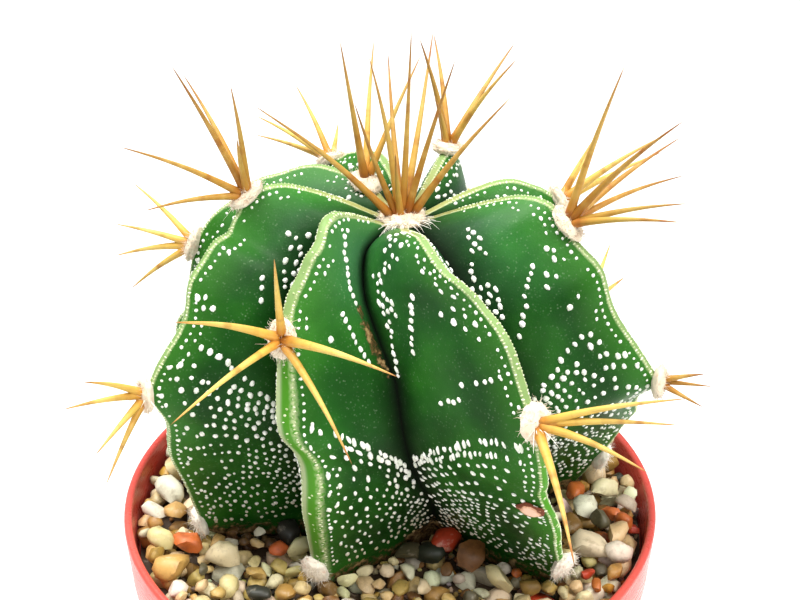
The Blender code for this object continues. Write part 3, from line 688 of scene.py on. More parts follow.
def buildFlecks(tree, material):
    rng = random.Random(fleck["seed"])
    addBall = partial(bpy.ops.mesh.primitive_uv_sphere_add, segments=7, ring_count=4, radius=1)
    tufts = [modelled(addBall, lambda p: p * (1 + fleck["jitter"] * noise.noise(p * 1.3 + shift)))
             for shift in (Vector((k * 7, 0, 0)) for k in range(6))]
    copies = []
    for face in faces:
        likeFace = face if face in fleckArcs else rng.choice(list(fleckArcs))
        for share, step, size, stretch in (arcFlecks(face, rng, likeFace) + chainFlecks(face, rng, likeFace)
                                           + edgeFlecks(face, rng)):
            if not 0.05 < share < 0.992 or step > 1.98:
                continue
            sizes = (fleck["long"] * size * stretch, fleck["wide"] * size / stretch, fleck["high"] * size)
            lean = fleck["crossLean"] if stretch < fleck["crossUnder"] else 0.0
            seat = onSkin(tree, face, share, step, sizes, rng, lean)
            low = max(0.0, 1 - (seat[0].z / mm - stem["ground"]) / (6 + 10 * max(step - 1.4, 0)))
            soil, shade = min(1.0, low * rng.uniform(0.5, 1.3)), rng.random()
            copies.append(moved(rng.choice(tufts), *seat, soil=soil, shade=shade))
    print("flecks:", len(copies))
    settle(copied(copies), "whiteFlecks", material, "wool")


def fleckMaterial():
    # Tufts of matted woolly scales: chalk white, stained beige beside the soil.
    material, node, place = startMaterial("felted scales, white")
    soil, shade = (node("Attribute", give="Fac", attribute_name=name) for name in ("soil", "shade"))
    white = node("ValToRGB", shade, stops=((0.0, "#DDE3D4"), (0.5, "#F1F3EA"), (1.0, "#FBFBF5")))
    bump = node("Bump", Height=node("TexNoise", place, perMetre(0.15), 2.0), Strength=0.7, Distance=0.06 * mm)
    return shaded(material, Base_Color=node("Mix", soil, white, "#B59C6E", data_type="RGBA"), Roughness=0.85,
                  IOR=1.4, Normal=bump)


# Beads of the crest: close-set cream rungs along both edges, and a fainter line between them
bead = {"gap": 0.55, "across": 0.5, "along": 0.28, "high": 0.12, "seed": 8, "middleChance": 0.25}


def buildBeads(tree, material):
    rng = random.Random(bead["seed"])
    original = ball(1)
    copies = []
    for face in faces:
        last = None
        for i in range(2200):
            share = 0.045 + 0.945 * i / 2200
            point = onFace(faceSection(face, share), 0.96)
            if last is not None and (point - last).length < bead["gap"] * rng.uniform(0.85, 1.2):
                continue
            last = point
            steps = [0.9 + rng.uniform(-0.08, 0.08)]
            if face % 2 == 0 and rng.random() < bead["middleChance"]:
                steps.append(rng.uniform(0.0, 0.4))
            for step in steps:
                size = rng.uniform(0.55, 1.3)
                sizes = (bead["along"] * size, bead["across"] * size, bead["high"])
                seat = onSkin(tree, face, share, step, sizes, rng)
                copies.append(moved(original, *seat, shade=rng.random()))
    print("beads:", len(copies))
    settle(copied(copies), "crestBeads", material, "wool")


def beadMaterial():
    # Horny cells of the crest edge: cream to pale lime, a little waxy.
    material, node, _ = startMaterial("crest beads, horny cells")
    cream = node("ValToRGB", node("Attribute", give="Fac", attribute_name="shade"),
                 stops=((0.0, "#A9BC82"), (0.5, "#CBD4AC"), (1.0, "#E9EBD6")))
    return shaded(material, Base_Color=cream, Roughness=0.6, IOR=1.45)


# Areoles: where each sits down its crest, its spines as compass angle, rise and length, and its tone
areoles = {
    "front_left": {
        "mid": (0.53, ((12, 68, 18), (311, 30, 18.5), (328, -3, 23), (35, -26, 22.5), (49, 9, 24)), 0.1),
        "foot": (0.985, (), 0),
    },
    "front_right": {
        "mid": (0.573, ((56, 31, 23), (55, 22, 21), (40, 8, 18.5), (7, -21, 21.5)), 0.1),
        "foot": (0.95, (), 0),
    },
    "right": {
        "upper": (0.258, ((45, 76, 25.5), (57, 51, 23.5), (125, 20, 21.5), (124, 2, 21.5), (59, 20, 17.5),
                          (45, 16, 18.5)), 0.6),
        "mid": (0.65, ((60, 35, 6), (75, 5, 6), (45, -15, 6)), 0.8),
        "foot": (0.95, (), 0),
    },
    "back_right": {
        "upper": (0.38, ((96, 34, 17), (118, 12, 18), (150, 30, 12), (135, 58, 10)), 0.3),
        "mid": (0.7, ((150, 0, 12), (165, 25, 14), (175, -15, 14)), 0.3),
        "foot": (0.95, (), 0),
    },
    "back": {
        "upper": (0.158, ((191, 45, 18), (296, 72, 18), (138, 34, 20), (69, 53, 18), (323, 62, 9)), 0.5),
        "mid": (0.55, ((175, -10, 13), (150, -20, 12), (200, -20, 12), (178, 20, 11)), 0.3),
        "foot": (0.93, (), 0),
    },
    "back_middle": {
        "mid": (0.445, ((209, 30, 15), (244, -1, 15), (256, 20, 14), (170, 10, 8)), 0.2),
        "foot": (0.92, (), 0),
    },
    "back_left": {
        "crown": (0.062, ((301, 79, 23), (176, 47, 22.5), (138, 51, 20.5)), 0.4),
        "mid": (0.525, ((226, 26, 14), (247, 1, 13), (252, -22, 14), (263, -46, 14)), 0.05),
        "foot": (0.95, (), 0),
    },
    "left": {
        "upper": (0.195, ((312, 65, 24), (212, 34, 21.5), (3, 78, 18), (9, 61, 11.5), (301, 30, 21),
                          (310, 3, 16.5)), 0.6),
        "mid": (0.645, ((325, 40, 12), (318, 18, 13), (340, -14, 12), (345, -36, 14)), 0.3),
        "foot": (0.985, (), 0),
    },
}
crownSpines = ((290, 41, 30), (296, 67, 20), (246, 77, 24), (187, 46, 25.5), (113, 87, 28),
               (165, 48, 29), (80, 72, 25.5), (93, 47, 24), (344, 70, 11))
wool = {
    # half sizes of a pad along the crest, across it and outwards, and of the crown's pad
    "pad": (2.9, 2.3, 1.1), "crownPad": (3.6, 3.6, 1.1), "lift": 0.3, "full": 1.04,
    "fibres": 260, "fibreLength": (0.5, 1.15), "fibreRadius": 0.05, "strayShare": 0.05, "strayStretch": 2.2,
    "seed": 3,
}
# Long loose hairs: how many, their length, and the compass angle that they lean to, give or take
longHairs = {"crown": (40, 4.6, 15, 60), "front_right_mid": (5, 3.4, 10, 25), "left_mid": (4, 3.0, 340, 40)}
spine = {
    "hubLift": 2.4,  # the solid's tips are counted from here
    "rootLift": 0.75, "rootSpread": 0.75, "crownSpread": 2.3, "tipRadius": 0.05, "bow": 0.03, "sway": 0.02,
    "rootRadius": (0.79, 0.62),  # of the palest and of the brownest sprays
    "rings": 16, "sides": 9, "seed": 21,
}


def areoleFrame(rib, share):  # the seat, and the axes along the crest, across it and outwards
    seat = crestPoint(rib, share)
    ahead = (crestPoint(rib, share + 0.01) - crestPoint(rib, share - 0.01)).normalized()
    outward = ahead.cross(anticlockwise(ribAngle(rib, share))).normalized()
    if outward.dot(seat - fromCompass(0, 0, 25)) < 0:
        outward.negate()
    return seat, Matrix((ahead, outward.cross(ahead), outward)).transposed()


def listAreoles():  # name, seat, axes, spines, tone and the pad's half sizes
    found = [(rib + "_" + level, *areoleFrame(rib, share), spines, tone, wool["pad"])
             for rib, levels in areoles.items() for level, (share, spines, tone) in levels.items()]
    crown = fromCompass(0, 0, stem["crestHeight"][0])
    return found + [("crown", crown, Matrix.Identity(3), crownSpines, 0.65, wool["crownPad"])]


def compassDirection(angle, rise):
    angle, rise = math.radians(angle), math.radians(rise)
    return Vector((math.sin(angle) * math.cos(rise), -math.cos(angle) * math.cos(rise), math.sin(rise)))


def cutCone(sides, tip, cuts, shape=None):  # a cone of unit length, cut into rings
    def addCone():
        bpy.ops.mesh.primitive_cone_add(vertices=sides, radius1=1.0, radius2=tip, depth=1.0,
                                        location=(0, 0, 0.5))
        bpy.ops.object.transform_apply()
        bpy.ops.object.mode_set(mode="EDIT")
        for height in cuts:
            bpy.ops.mesh.select_all(action="SELECT")
            bpy.ops.mesh.bisect(plane_co=(0, 0, height), plane_no=(0, 0, 1))
        bpy.ops.object.mode_set(mode="OBJECT")
    return modelled(addCone, shape)


def awlShape(point):  # a slow taper from a swollen root
    t = point.z
    tip = spine["tipRadius"] / spine["rootRadius"][0]
    radius = tip + (1 - tip) * (1 - t) ** 0.95 + 0.14 * math.exp(-((t - 0.04) / 0.035) ** 2)
    side = Vector((point.x, point.y, 0))
    flat = side.normalized() * radius if side.length > 1e-6 else side
    return Vector((flat.x, flat.y, t))


def swept(cone, root, line, side, up, thick, bend, **marks):  # the cone laid along a line, and bent by bend
    faceList, coords = cone
    x, y, t = coords[:, 0:1], coords[:, 1:2], coords[:, 2:3]
    path = np.array(root) + t * np.array(line) + bend(t)
    return faceList, (path + x * thick * np.array(side) + y * thick * np.array(up)) * mm, marks


def buildSpray(name, seat, axes, spines, tone, awl, material, rng):
    copies = []
    outward = axes.col[2]
    hub = seat + outward * spine["hubLift"]
    reach = spine["crownSpread" if name == "crown" else "rootSpread"]
    stout, slim = spine["rootRadius"]
    for angle, rise, length in spines:
        direction = compassDirection(angle, rise)
        spread = direction - outward * direction.dot(outward)
        root = seat + outward * spine["rootLift"] + spread * reach
        line = hub + direction * length - root
        span, heading = line.length, line.normalized()
        side = heading.cross(Vector((0, 0, 1)) if abs(heading.z) < 0.9 else Vector((0, 1, 0))).normalized()
        up = side.cross(heading)
        thick = (stout + (slim - stout) * tone) * (0.8 + 0.2 * min(length / 18, 1)) * rng.uniform(0.9, 1.08)
        # a spine bows upwards a little as the solid's does, and sways to one side
        bow = (1 if length > 10 else 0.3) * spine["bow"] * span
        off = np.array(up * bow + side * (rng.uniform(-1, 1) * spine["sway"] * span))
        t = awl[1][:, 2]
        marks = {"alongMm": t * span + rng.uniform(0, 0.01), "along": t,
                 "tone": min(1.0, max(0.0, tone + rng.uniform(-0.18, 0.18))), "seed": rng.uniform(0, 50)}
        copies.append(swept(awl, root, line, side, up, thick, lambda t: np.sin(math.pi * t) * off, **marks))
    settle(copied(copies), "awls_" + name, material, "spine", "spines_" + name)


def spineMaterial():
    # Spine horn, grown in layers: straw to chestnut, banded across, darker at root and tip.
    material, node, place = startMaterial("spine horn, grown")
    alongMm, share, tone, seed = (node("Attribute", give="Fac", attribute_name=name)
                                  for name in ("alongMm", "along", "tone", "seed"))
    pale = node("ValToRGB", share, stops=((0.0, "#8A4E18"), (0.06, "#C78932"), (0.18, "#D6AE50"),
                                          (0.55, "#DAC26A"), (0.86, "#CDA158"), (1.0, "#946238")))
    brown = node("ValToRGB", share, stops=((0.0, "#552A0A"), (0.07, "#874C12"), (0.3, "#98621A"),
                                           (0.62, "#8B5618"), (0.88, "#6A3C12"), (1.0, "#47260C")))
    # lengthwise streaks, many times as long as wide, and bands of slower growth, about 3 mm apart
    drawnOut = node("Math", alongMm, 0.12, operation="MULTIPLY")
    streaks = node("TexNoise", node("CombineXYZ", drawnOut, seed), 1.0, 2.0)
    bands = node("TexNoise", node("CombineXYZ", alongMm, seed), 0.33, 2.0)
    horn = pale
    for mask, shade in ((tone, brown), (node("MapRange", streaks, 0.5, 0.7, 0.0, 0.3), "#9C5A18"),
                        (node("MapRange", bands, 0.55, 0.7, 0.0, 0.6), "#8C4716"),
                        (node("MapRange", bands, 0.45, 0.3, 0.0, 0.25), "#E6C878")):
        horn = node("Mix", mask, horn, shade, data_type="RGBA")
    # fine fibres of the horn
    bump = node("Bump", Height=node("TexNoise", place, perMetre(0.25), 3.0), Strength=0.3, Distance=0.04 * mm)
    return shaded(material, Base_Color=horn, Roughness=0.5, IOR=1.5, Specular_IOR_Level=0.3, Normal=bump,
                  Subsurface_Weight=0.12, Subsurface_Radius=(1.0, 0.5, 0.15), Subsurface_Scale=0.8 * mm)


def hair(fibre, root, heading, length, curl, thick, shade):  # one hair, curled from its middle on
    side = heading.orthogonal().normalized()
    return swept(fibre, root, heading * length, side, heading.cross(side), thick,
                 lambda t: t * t * np.array(curl), shade=shade)


def looseHairs(name, centre, sizes, fibre, rng):  # long hairs that hang out of some areoles
    copies = []
    count, reach, middle, spread = longHairs.get(name, (0, 0, 0, 0))
    for _ in range(count):
        away = compassDirection(middle + rng.uniform(-spread, spread), rng.uniform(8, 38))
        root = centre + Vector((away.x * sizes[0], away.y * sizes[1], 0.2)) * 0.8
        length = reach * rng.uniform(0.7, 1.2)
        curl = Vector((rng.gauss(0, 0.25), rng.gauss(0, 0.25), -rng.uniform(0.2, 0.5))) * length
        copies.append(hair(fibre, root, away, length, curl, wool["fibreRadius"] * 1.6, 1.0))
    return copies


def buildWool(name, seat, axes, halfSizes, core, fibre, material, rng):
    centre = seat + axes.col[2] * wool["lift"]
    offset = Vector([rng.uniform(-9, 9) for _ in range(3)])
    sizes = Vector(halfSizes) * wool["full"]
    # the pad itself, lumpy felt
    lumps = []
    for point in core[1]:
        p = Vector(point)
        p *= 1 + 0.16 * noise.noise(p * 2.2 + offset) + 0.07 * noise.noise(p * 6 + offset)
        lumps.append(centre + axes @ (p * sizes))
    # painted light: the wool by the soil is drawn whiter than the rest, as if it stood in full light
    white = 0.75 if name.endswith("foot") else 0.0
    copies = [(core[0], np.array(lumps) * mm, {"shade": max(white, 0.3 + 0.2 * rng.random())})]
    # matted hairs all round it, as dense on every pad, a few of them long and loose
    for _ in range(int(wool["fibres"] * (halfSizes[0] * halfSizes[1]) / (wool["pad"][0] * wool["pad"][1]))):
        lift, turn = rng.uniform(-0.15, 1.0), rng.uniform(0, math.tau)
        ring = math.sqrt(max(0.0, 1 - lift * lift))
        onBall = Vector((ring * math.cos(turn), ring * math.sin(turn), lift))
        root = centre + axes @ (onBall * sizes) * 0.92
        lean = Vector((rng.gauss(0, 0.6), rng.gauss(0, 0.6), rng.gauss(0, 0.4)))
        heading = (axes @ (onBall + lean)).normalized()
        length = rng.uniform(*wool["fibreLength"])
        curl = Vector((rng.gauss(0, 1), rng.gauss(0, 1), rng.gauss(-0.4, 1))) * length * 0.28
        if rng.random() < wool["strayShare"]:
            length *= wool["strayStretch"]
        shade = white + (0.8 - white) * rng.random()
        copies.append(hair(fibre, root, heading, length, curl, wool["fibreRadius"], shade))
    copies += looseHairs(name, centre, sizes, fibre, rng)
    settle(copied(copies), "felt_" + name, material, "wool", "wool_" + name)


def woolMaterial():
    # Areole wool, short matted plant hair: warm white, a little pink and tan inside the tuft.
    material, node, place = startMaterial("areole wool, matted hair")
    # the palest shades, given to the wool by the soil, are painted light
    white = node("ValToRGB", node("Attribute", give="Fac", attribute_name="shade"),
                 stops=((0.0, "#C9B193"), (0.45, "#E2D4BE"), (1.0, "#FBF7EE")))
    tan = node("MapRange", node("TexNoise", place, perMetre(1.1), 3.0), 0.56, 0.72, 0.0, 0.6)
    return shaded(material, Base_Color=node("Mix", tan, white, "#C79A7B", data_type="RGBA"), Roughness=0.9,
                  IOR=1.4, Sheen_Weight=0.3)


def buildAreoles(felt, horn):
    rng, spineRng = random.Random(wool["seed"]), random.Random(spine["seed"])
    core, fibre = ball(4), cutCone(3, 0.25, (0.35, 0.7))
    awl = cutCone(spine["sides"], 0.0, [i / spine["rings"] for i in range(1, spine["rings"])], awlShape)
    for name, seat, axes, spines, tone, sizes in listAreoles():
        buildWool(name, seat, axes, sizes, core, fibre, felt, rng)
        if spines:
            buildSpray(name, seat, axes, spines, tone, awl, horn, spineRng)
    print("areoles:", len(listAreoles()))


# The pot: tapered wall, deeper rim band and a rolled lip
pot = {
    "height": 80.0, "rimRadius": 45.0, "baseRadius": 32.5, "wall": 1.4, "floor": 1.6, "bandHeight": 10.0,
    "bandDraft": 0.5, "bandStep": 1.9, "bandEdge": (0.4, 1.2), "footBevel": 0.9, "lipSteps": 8,
    "segments": 144, "holes": 5, "holeRadius": 3.0, "holeCircle": 20.0,
}
bandBottom = pot["height"] - pot["bandHeight"]
bandOuter = pot["rimRadius"] - pot["bandDraft"]


def potWallRadius(height):  # outer radius of the taper under the band
    wide = pot["rimRadius"] - pot["bandDraft"] - pot["bandStep"]
    return pot["baseRadius"] + (wide - pot["baseRadius"]) * min(height / bandBottom, 1.0)


def innerRadius(height):
    if height <= bandBottom:
        return potWallRadius(height) - pot["wall"]
    band = pot["rimRadius"] - pot["bandDraft"] - pot["wall"]
    return min(band, potWallRadius(bandBottom) - pot["wall"] + height - bandBottom)


def potProfile():  # radius and height, up the inside, over the lip and down the outside
    inner, half = bandOuter - pot["wall"], pot["wall"] / 2
    lip = [(pot["rimRadius"] - half + half * math.cos(turn), pot["height"] - half + half * math.sin(turn))
           for turn in np.linspace(math.pi, 0, pot["lipSteps"] + 1)]
    return [(innerRadius(pot["floor"]), pot["floor"]), (innerRadius(bandBottom), bandBottom),
            (inner, bandBottom + inner - innerRadius(bandBottom)), *lip,
            (bandOuter, bandBottom - pot["bandEdge"][0]),
            (potWallRadius(bandBottom), bandBottom - pot["bandEdge"][1]),
            (pot["baseRadius"], pot["footBevel"]), (pot["baseRadius"] - pot["footBevel"], 0.0)]


def turned(profile, segments):  # a closed round form, grown ring by ring
    deselect()
    radius, height = profile[0]
    bpy.ops.mesh.primitive_circle_add(vertices=segments, radius=radius * mm, location=(0, 0, height * mm))
    bpy.ops.object.transform_apply()
    bpy.ops.object.mode_set(mode="EDIT")
    bpy.ops.mesh.select_all(action="SELECT")
    for wide, high in profile[1:]:
        bpy.ops.mesh.extrude_edges_move(TRANSFORM_OT_translate={"value": (0, 0, (high - height) * mm)})
        bpy.ops.transform.resize(value=(wide / radius, wide / radius, 1), center_override=(0, 0, high * mm))
        radius, height = wide, high
    closeUp()
    return bpy.context.object


def buildPot(material):
    piece = turned(potProfile(), pot["segments"])
    for i in range(pot["holes"]):
        turn = math.tau * (i + 0.5) / pot["holes"]
        spot = Vector((math.sin(turn), -math.cos(turn), 0)) * pot["holeCircle"] * mm
        deselect()
        bpy.ops.mesh.primitive_cylinder_add(vertices=32, radius=pot["holeRadius"] * mm, depth=10 * mm,
                                            location=spot)
        drill = bpy.context.object
        pick(piece)
        cut = piece.modifiers.new("drain", "BOOLEAN")
        cut.operation = "DIFFERENCE"
        cut.object = drill
        bpy.ops.object.modifier_apply(modifier="drain")
        bpy.data.objects.remove(drill, do_unlink=True)
    pick(piece)
    bpy.ops.object.shade_smooth_by_angle(angle=math.radians(40))
    print("pot:", len(piece.data.polygons), "faces")
    settle(piece, "nurseryPot", material, "pot", "pot")


def potMaterial():
    # Polypropylene, injection moulded: brick red, satin gloss, with fine scuffs.
    material, node, place = startMaterial("polypropylene, injection moulded")
    red = node("ValToRGB", node("TexNoise", place, perMetre(25), 2.0),
               stops=((0.3, "#C64B42"), (0.7, "#D0544A")))
    # scuffs run round the pot: the pattern is squeezed to a fifth along its height
    scuffs = node("TexNoise", node("Mapping", place, Scale=(1.0, 1.0, 5.0)), perMetre(4), 8.0, 0.75)
    red = node("Mix", node("MapRange", scuffs, 0.63, 0.75, 0.0, 0.3), red, "#D9A096", data_type="RGBA")
    # the mould's fine spark texture, drawn at 0.4 mm
    bump = node("Bump", Height=node("TexNoise", place, perMetre(0.4), 2.0), Strength=0.12, Distance=0.03 * mm)
    return shaded(material, Base_Color=red, Roughness=node("MapRange", scuffs, 0.45, 0.75, 0.26, 0.5),
                  IOR=1.49, Normal=bump)


# The gravel: loose pebbles of mixed rock over a bed of coarse grit
gravel = {
    "bedTop": 73.0, "radii": (1.0, 3.2), "usual": 2.1, "flat": 0.74, "packing": 0.85, "shapes": 20,
    "seed": 17,
    # tries and height limits by the stem and by the wall, for the lower layer and the upper one
    "lower": (9000, 75.6, 77.8), "upper": (16000, 77.0, 80.0), "slopeFrom": 26.0,
    "seatRoom": 1.2, "stemRoom": 0.72, "sink": 0.35,
    "grains": 1500, "grainRadii": (0.35, 0.8), "bedDepth": 5.0, "bedTaper": 0.975, "bedSegments": 96,
    "bedRings": (1.0, 0.94, 0.88, 0.8, 0.7, 0.6, 0.48, 0.36, 0.22, 0.1),
}
# rock colours with their share of the mix
rockMix = {
    "white": ("#E6DDC6", 12), "cream": ("#DCCDA4", 20), "beige": ("#CDB681", 18), "tan": ("#BB9A58", 15),
    "ochre": ("#A27C3C", 10), "gold": ("#C4943A", 5), "orange": ("#C0652C", 3), "rust": ("#B83A1A", 1),
    "brown": ("#7C5528", 6), "grey": ("#B5AA8E", 7), "olive": ("#57513A", 3), "slate": ("#2E3026", 2),
    "earth": ("#5E4022", 0),
}
# dark damp earth that shows between small stones: x, y, half width and the largest stone in it
earthPatch = (-22.5, -4.5, 5.2, 1.2)
# stones set one by one where the photo shows them: x, y and height of the middle, radius, rock
setStones = (
    (9.2, -10.6, 78.4, 2.5, "rust"), (13.4, -14.2, 77.2, 3.2, "brown"), (6.2, -13.2, 76.9, 2.4, "slate"),
    (3.0, -12.4, 76.4, 2.1, "olive"), (17.2, -19.6, 77.0, 2.3, "cream"), (-37.6, 9.0, 78.2, 3.7, "cream"),
    (-38.0, 2.6, 78.4, 3.4, "white"), (-40.3, -3.2, 78.4, 2.0, "white"), (-36.8, -3.8, 78.4, 2.3, "tan"),
    (-33.4, -2.2, 77.8, 2.4, "cream"), (-38.0, -10.4, 78.2, 3.0, "beige"),
    (-33.4, -11.4, 78.0, 2.4, "orange"),
    (-35.0, -17.5, 78.0, 3.4, "tan"), (-27.1, -13.8, 77.2, 2.8, "cream"), (-18.7, -11.8, 76.8, 2.0, "orange"),
    (-17.3, -2.6, 77.0, 2.8, "beige"), (-16.8, -6.8, 76.6, 2.7, "slate"), (-14.7, -10.8, 76.6, 2.3, "cream"),
    (31.9, 1.9, 77.6, 2.0, "orange"), (33.2, -2.9, 78.4, 2.6, "white"), (30.5, -7.2, 77.6, 2.3, "brown"),
    (35.4, -6.6, 78.4, 1.8, "olive"), (37.7, 2.2, 78.4, 2.5, "cream"), (40.2, -2.4, 78.6, 1.9, "grey"),
    (32.8, -13.2, 78.2, 3.0, "cream"), (37.8, -9.9, 78.6, 2.4, "beige"), (37.4, -14.6, 78.8, 2.4, "white"),
    (36.6, 8.0, 78.0, 2.5, "cream"),
)


def worn(flats, shift, p):  # a lumpy ball with flats worn on it
    p = p * (1 + 0.4 * noise.noise(p * 0.9 + shift))
    for facing, limit in flats:
        p = p - facing * max(p.dot(facing) - limit, 0)
    return p


def clearOfStem(tree, spot, needed):
    near, normal, _, _ = tree.find_nearest(spot * mm)
    return (spot - near / mm).dot(normal) > needed


def dropStones(rng, tree, seats, placed, tries, lowest, highest):  # they rest on the bed and each other
    for _ in range(tries):
        r = rng.triangular(*gravel["radii"], gravel["usual"])
        turn, reach = rng.uniform(0, math.tau), math.sqrt(rng.random()) * (innerRadius(77) - r * 0.9)
        x, y = reach * math.sin(turn), -reach * math.cos(turn)
        earthX, earthY, earthWide, largest = earthPatch
        earthy = math.hypot(x - earthX, y - earthY) < earthWide
        r = min(r, largest) if earthy else r
        z = gravel["bedTop"] + r * gravel["sink"]
        for ox, oy, oz, other, _ in placed:
            touch = (r + other) * gravel["packing"]
            gap = touch * touch - (x - ox) ** 2 - (y - oy) ** 2
            if gap > 0:
                z = max(z, oz + gravel["flat"] * math.sqrt(gap))
        rise = max(reach - gravel["slopeFrom"], 0) / (innerRadius(76) - gravel["slopeFrom"])
        spot = Vector((x, y, z))
        if z + r * gravel["flat"] > lowest + (highest - lowest) * rise:
            continue
        if not clearOfStem(tree, spot, r * gravel["stemRoom"]):
            continue
        if all((spot - seat).length > r + gravel["seatRoom"] for seat in seats):
            placed.append((x, y, z, r, "earth" if earthy and rng.random() < 0.8 else None))


def buildGravel(tree, stone, grit):
    rng = random.Random(gravel["seed"])
    originals = []
    for k in range(gravel["shapes"]):
        flats = [(Vector([rng.gauss(0, 1) for _ in range(3)]).normalized(), rng.uniform(0.5, 0.82))
                 for _ in range(9)]
        originals.append(ball(2, partial(worn, flats, Vector((k * 5.0, 0, 0)))))
    seats = [seat for name, seat, *_ in listAreoles() if name.endswith("foot")]
    # a lower layer first, then the listed stones on it, then the rest
    placed = []
    dropStones(rng, tree, seats, placed, *gravel["lower"])
    placed += [stone for stone in setStones if clearOfStem(tree, Vector(stone[:3]), stone[3] * 0.5)]
    dropStones(rng, tree, seats, placed, *gravel["upper"])
    shades, weights = zip(*rockMix.values())
    copies = []
    for x, y, z, r, rock in placed:
        shade = rockMix[rock][0] if rock else rng.choices(shades, weights)[0]
        tint = [min(1.0, part * rng.uniform(0.86, 1.06)) for part in colour(shade)[:3]] + [1.0]
        turn = (Matrix.Rotation(rng.uniform(0, math.tau), 4, "Z")
                @ Matrix.Rotation(rng.gauss(0, 0.25), 4, "X")
                @ Matrix.Rotation(rng.gauss(0, 0.25), 4, "Y"))
        sizes = (r * rng.uniform(1.0, 1.4), r * rng.uniform(0.8, 1.0),
                 r * gravel["flat"] * rng.uniform(0.95, 1.2))
        spot = Vector((x, y, z)) * mm
        copies.append(moved(rng.choice(originals), spot, turn, sizes, tint=tint, seed=rng.uniform(0, 40)))
    print("pebbles:", len(copies))
    settle(copied(copies, sharp=50.0), "pebbles", stone, "gravel", "gravel")
    buildGrit(rng, grit)


def buildGrit(rng, material):  # a rough bed, with coarse grains lying on it between the stones
    top = gravel["bedTop"]
    wide = innerRadius(top) - 0.3
    profile = [(wide * gravel["bedTaper"], top - gravel["bedDepth"]),
               *((wide * ring, top) for ring in gravel["bedRings"])]
    bed = modelled(lambda: turned(profile, gravel["bedSegments"]))
    copies = [(*bed, {"tint": colour("#4A3826"), "seed": 0.0})]
    grain = ball(1, lambda p: p * (1 + 0.3 * noise.noise(p * 1.7)))
    shades, weights = zip(*rockMix.values())
    for _ in range(gravel["grains"]):
        r = rng.uniform(*gravel["grainRadii"])
        turn, reach = rng.uniform(0, math.tau), math.sqrt(rng.uniform(0.05, 1)) * (wide - r)
        spot = Vector((reach * math.sin(turn), -reach * math.cos(turn), top + r * rng.uniform(0.2, 1.4)))
        spin = Matrix.Rotation(rng.uniform(0, math.tau), 4,
                               Vector((rng.gauss(0, 1), rng.gauss(0, 1), 1)).normalized())
        tint = [part * rng.uniform(0.5, 0.9) for part in colour(rng.choices(shades, weights)[0])[:3]] + [1.0]
        sizes = (r, r * 0.8, r * 0.7)
        copies.append(moved(grain, spot * mm, spin, sizes, tint=tint, seed=rng.uniform(0, 40)))
    print("grit:", len(copies))
    settle(copied(copies, sharp=40.0), "gritBed", material, "gravel", "gravel")


def rockMaterial(name, roughness):
    # River gravel, tumbled: mixed quartz, sandstone and slate, each stone mottled in its own colour.
    material, node, place = startMaterial(name)
    seed = node("Attribute", give="Fac", attribute_name="seed")
    own = node("VectorMath", place, node("CombineXYZ", seed, seed, seed), operation="ADD")
    mottle = node("TexNoise", own, perMetre(2.2), 5.0, 0.65)
    rock = node("Mix", node("MapRange", mottle, 0.5, 0.72, 0.0, 0.6),
                node("Attribute", give="Color", attribute_name="tint"), "#7E683E", data_type="RGBA",
                blend_type="MULTIPLY")
    grains = node("TexVoronoi", own, perMetre(0.55))
    for mask, shade in ((node("MapRange", mottle, 0.42, 0.3, 0.0, 0.3), "#E9DCC6"),
                        (node("MapRange", grains, 0.16, 0.06, 0.0, 0.35), "#54432E")):
        rock = node("Mix", mask, rock, shade, data_type="RGBA")
    bump = node("Bump", Height=mottle, Strength=0.5, Distance=0.2 * mm)
    return shaded(material, Base_Color=rock, Roughness=roughness, IOR=1.54, Normal=bump)


def soilMaterial():
    # Peat and loam potting mix: dark brown crumbs with pale perlite grains.
    material, node, place = startMaterial("potting mix, peat and loam")
    crumbs = node("TexNoise", place, perMetre(1.5), 6.0)
    brown = node("ValToRGB", crumbs, stops=((0.35, "#1E140D"), (0.55, "#3A2819"), (0.72, "#5C442C")))
    perlite = node("MapRange", node("TexVoronoi", place, perMetre(4.0)), 0.16, 0.12)
    bump = node("Bump", Height=crumbs, Strength=1.0, Distance=0.8 * mm)
    return shaded(material, Base_Color=node("Mix", perlite, brown, "#E8E4DA", data_type="RGBA"),
                  Roughness=0.95, IOR=1.5, Normal=bump)


def treeOf(piece):  # for the nearest point and normal of its surface
    shape = bmesh.new()
    shape.from_mesh(piece.data)
    found = BVHTree.FromBMesh(shape)
    shape.free()
    return found


# The stage: a pale floor, soft studio light and the camera
stage = {
    "floorSize": 6.0, "cameraPlace": (1.0, -194.0, 229.2), "cameraPitch": 30.0, "cameraYaw": 0.2,
    "sensor": 36.0, "focalPixels": 1418.0, "pictureWidth": 800, "sky": ("#FAFCFC", 0.42),
    # the floor and the lamps are in metres: place, watts and colour of discs that face the plant
    "lamps": {"windowLight": ((-0.25, 0.1, 0.8), 10.0, "#FFFEFA"),
              "roomLight": ((0.4, -0.3, 0.7), 6.5, "#FFFCF4"),
              "frontFill": ((0.1, -0.8, 0.55), 1.6, "#FFFFFF")},
    "lampSize": 0.5, "lampTarget": (0.0, 0.0, 0.1),
}


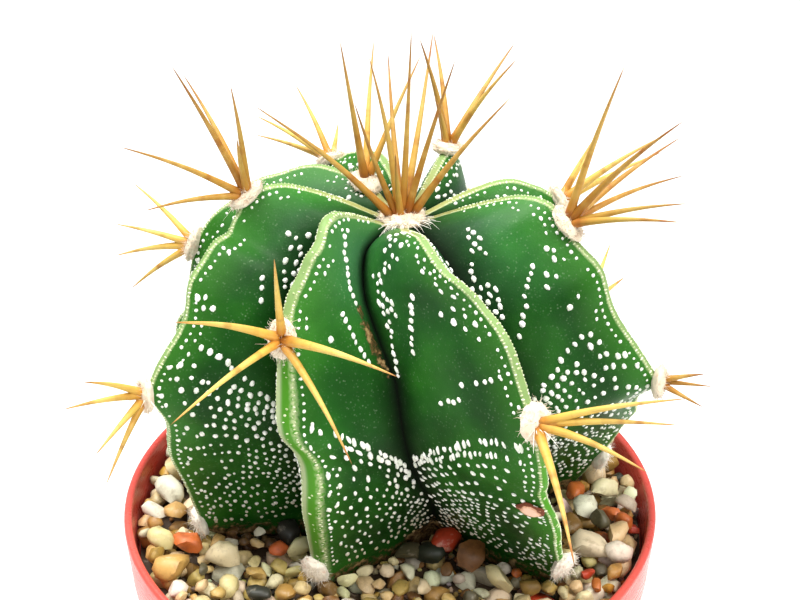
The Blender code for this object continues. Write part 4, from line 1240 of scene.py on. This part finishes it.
def floorMaterial():
    # Matt white paper sweep: barely textured, so that only the soft shadow shows.
    material, node, place = startMaterial("paper sweep, matt white")
    white = node("ValToRGB", node("TexNoise", place, perMetre(3), 3.0),
                 stops=((0.3, "#F1F4F5"), (0.7, "#F7F9FA")))
    return shaded(material, Base_Color=white, Roughness=0.9, IOR=1.5)


def buildStage():
    deselect()
    bpy.ops.mesh.primitive_plane_add(size=stage["floorSize"])
    floor = bpy.context.object
    floor.name = "floor"
    floor.data.materials.append(floorMaterial())
    world = bpy.data.worlds.new("studio")
    bpy.context.scene.world = world
    world.use_nodes = True
    sky = world.node_tree.nodes["Background"]
    sky.inputs["Color"].default_value = colour(stage["sky"][0])
    sky.inputs["Strength"].default_value = stage["sky"][1]
    for name, (place, watts, shade) in stage["lamps"].items():
        deselect()
        bpy.ops.object.light_add(type="AREA", location=place)
        lamp = bpy.context.object
        lamp.name = name
        lamp.data.shape = "DISK"
        lamp.data.size = stage["lampSize"]
        lamp.data.energy = watts
        lamp.data.color = colour(shade)[:3]
        aim = Vector(stage["lampTarget"]) - Vector(place)
        lamp.rotation_euler = aim.to_track_quat("-Z", "Y").to_euler()
    bpy.ops.object.camera_add(
        location=[part * mm for part in stage["cameraPlace"]],
        rotation=(math.radians(90 - stage["cameraPitch"]), 0, math.radians(-stage["cameraYaw"])))
    camera = bpy.context.object
    camera.data.sensor_width = stage["sensor"]
    camera.data.lens = stage["focalPixels"] / stage["pictureWidth"] * stage["sensor"]
    camera.data.clip_start = 0.01
    bpy.context.scene.camera = camera
    bpy.context.scene.view_settings.view_transform = "Standard"
    print("stage ready")


buildStage()
stemPiece = buildStem(skinMaterial())
stemTree = treeOf(stemPiece)
paintCork(stemPiece)
buildScar(stemTree, scarMaterial())
buildFlecks(stemTree, fleckMaterial())
buildBeads(stemTree, beadMaterial())
buildAreoles(woolMaterial(), spineMaterial())
buildPot(potMaterial())
buildGravel(stemTree, rockMaterial("river pebbles, tumbled", 0.5), rockMaterial("coarse grit, crushed", 0.7))
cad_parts["soil"].data.materials.clear()
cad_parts["soil"].data.materials.append(soilMaterial())
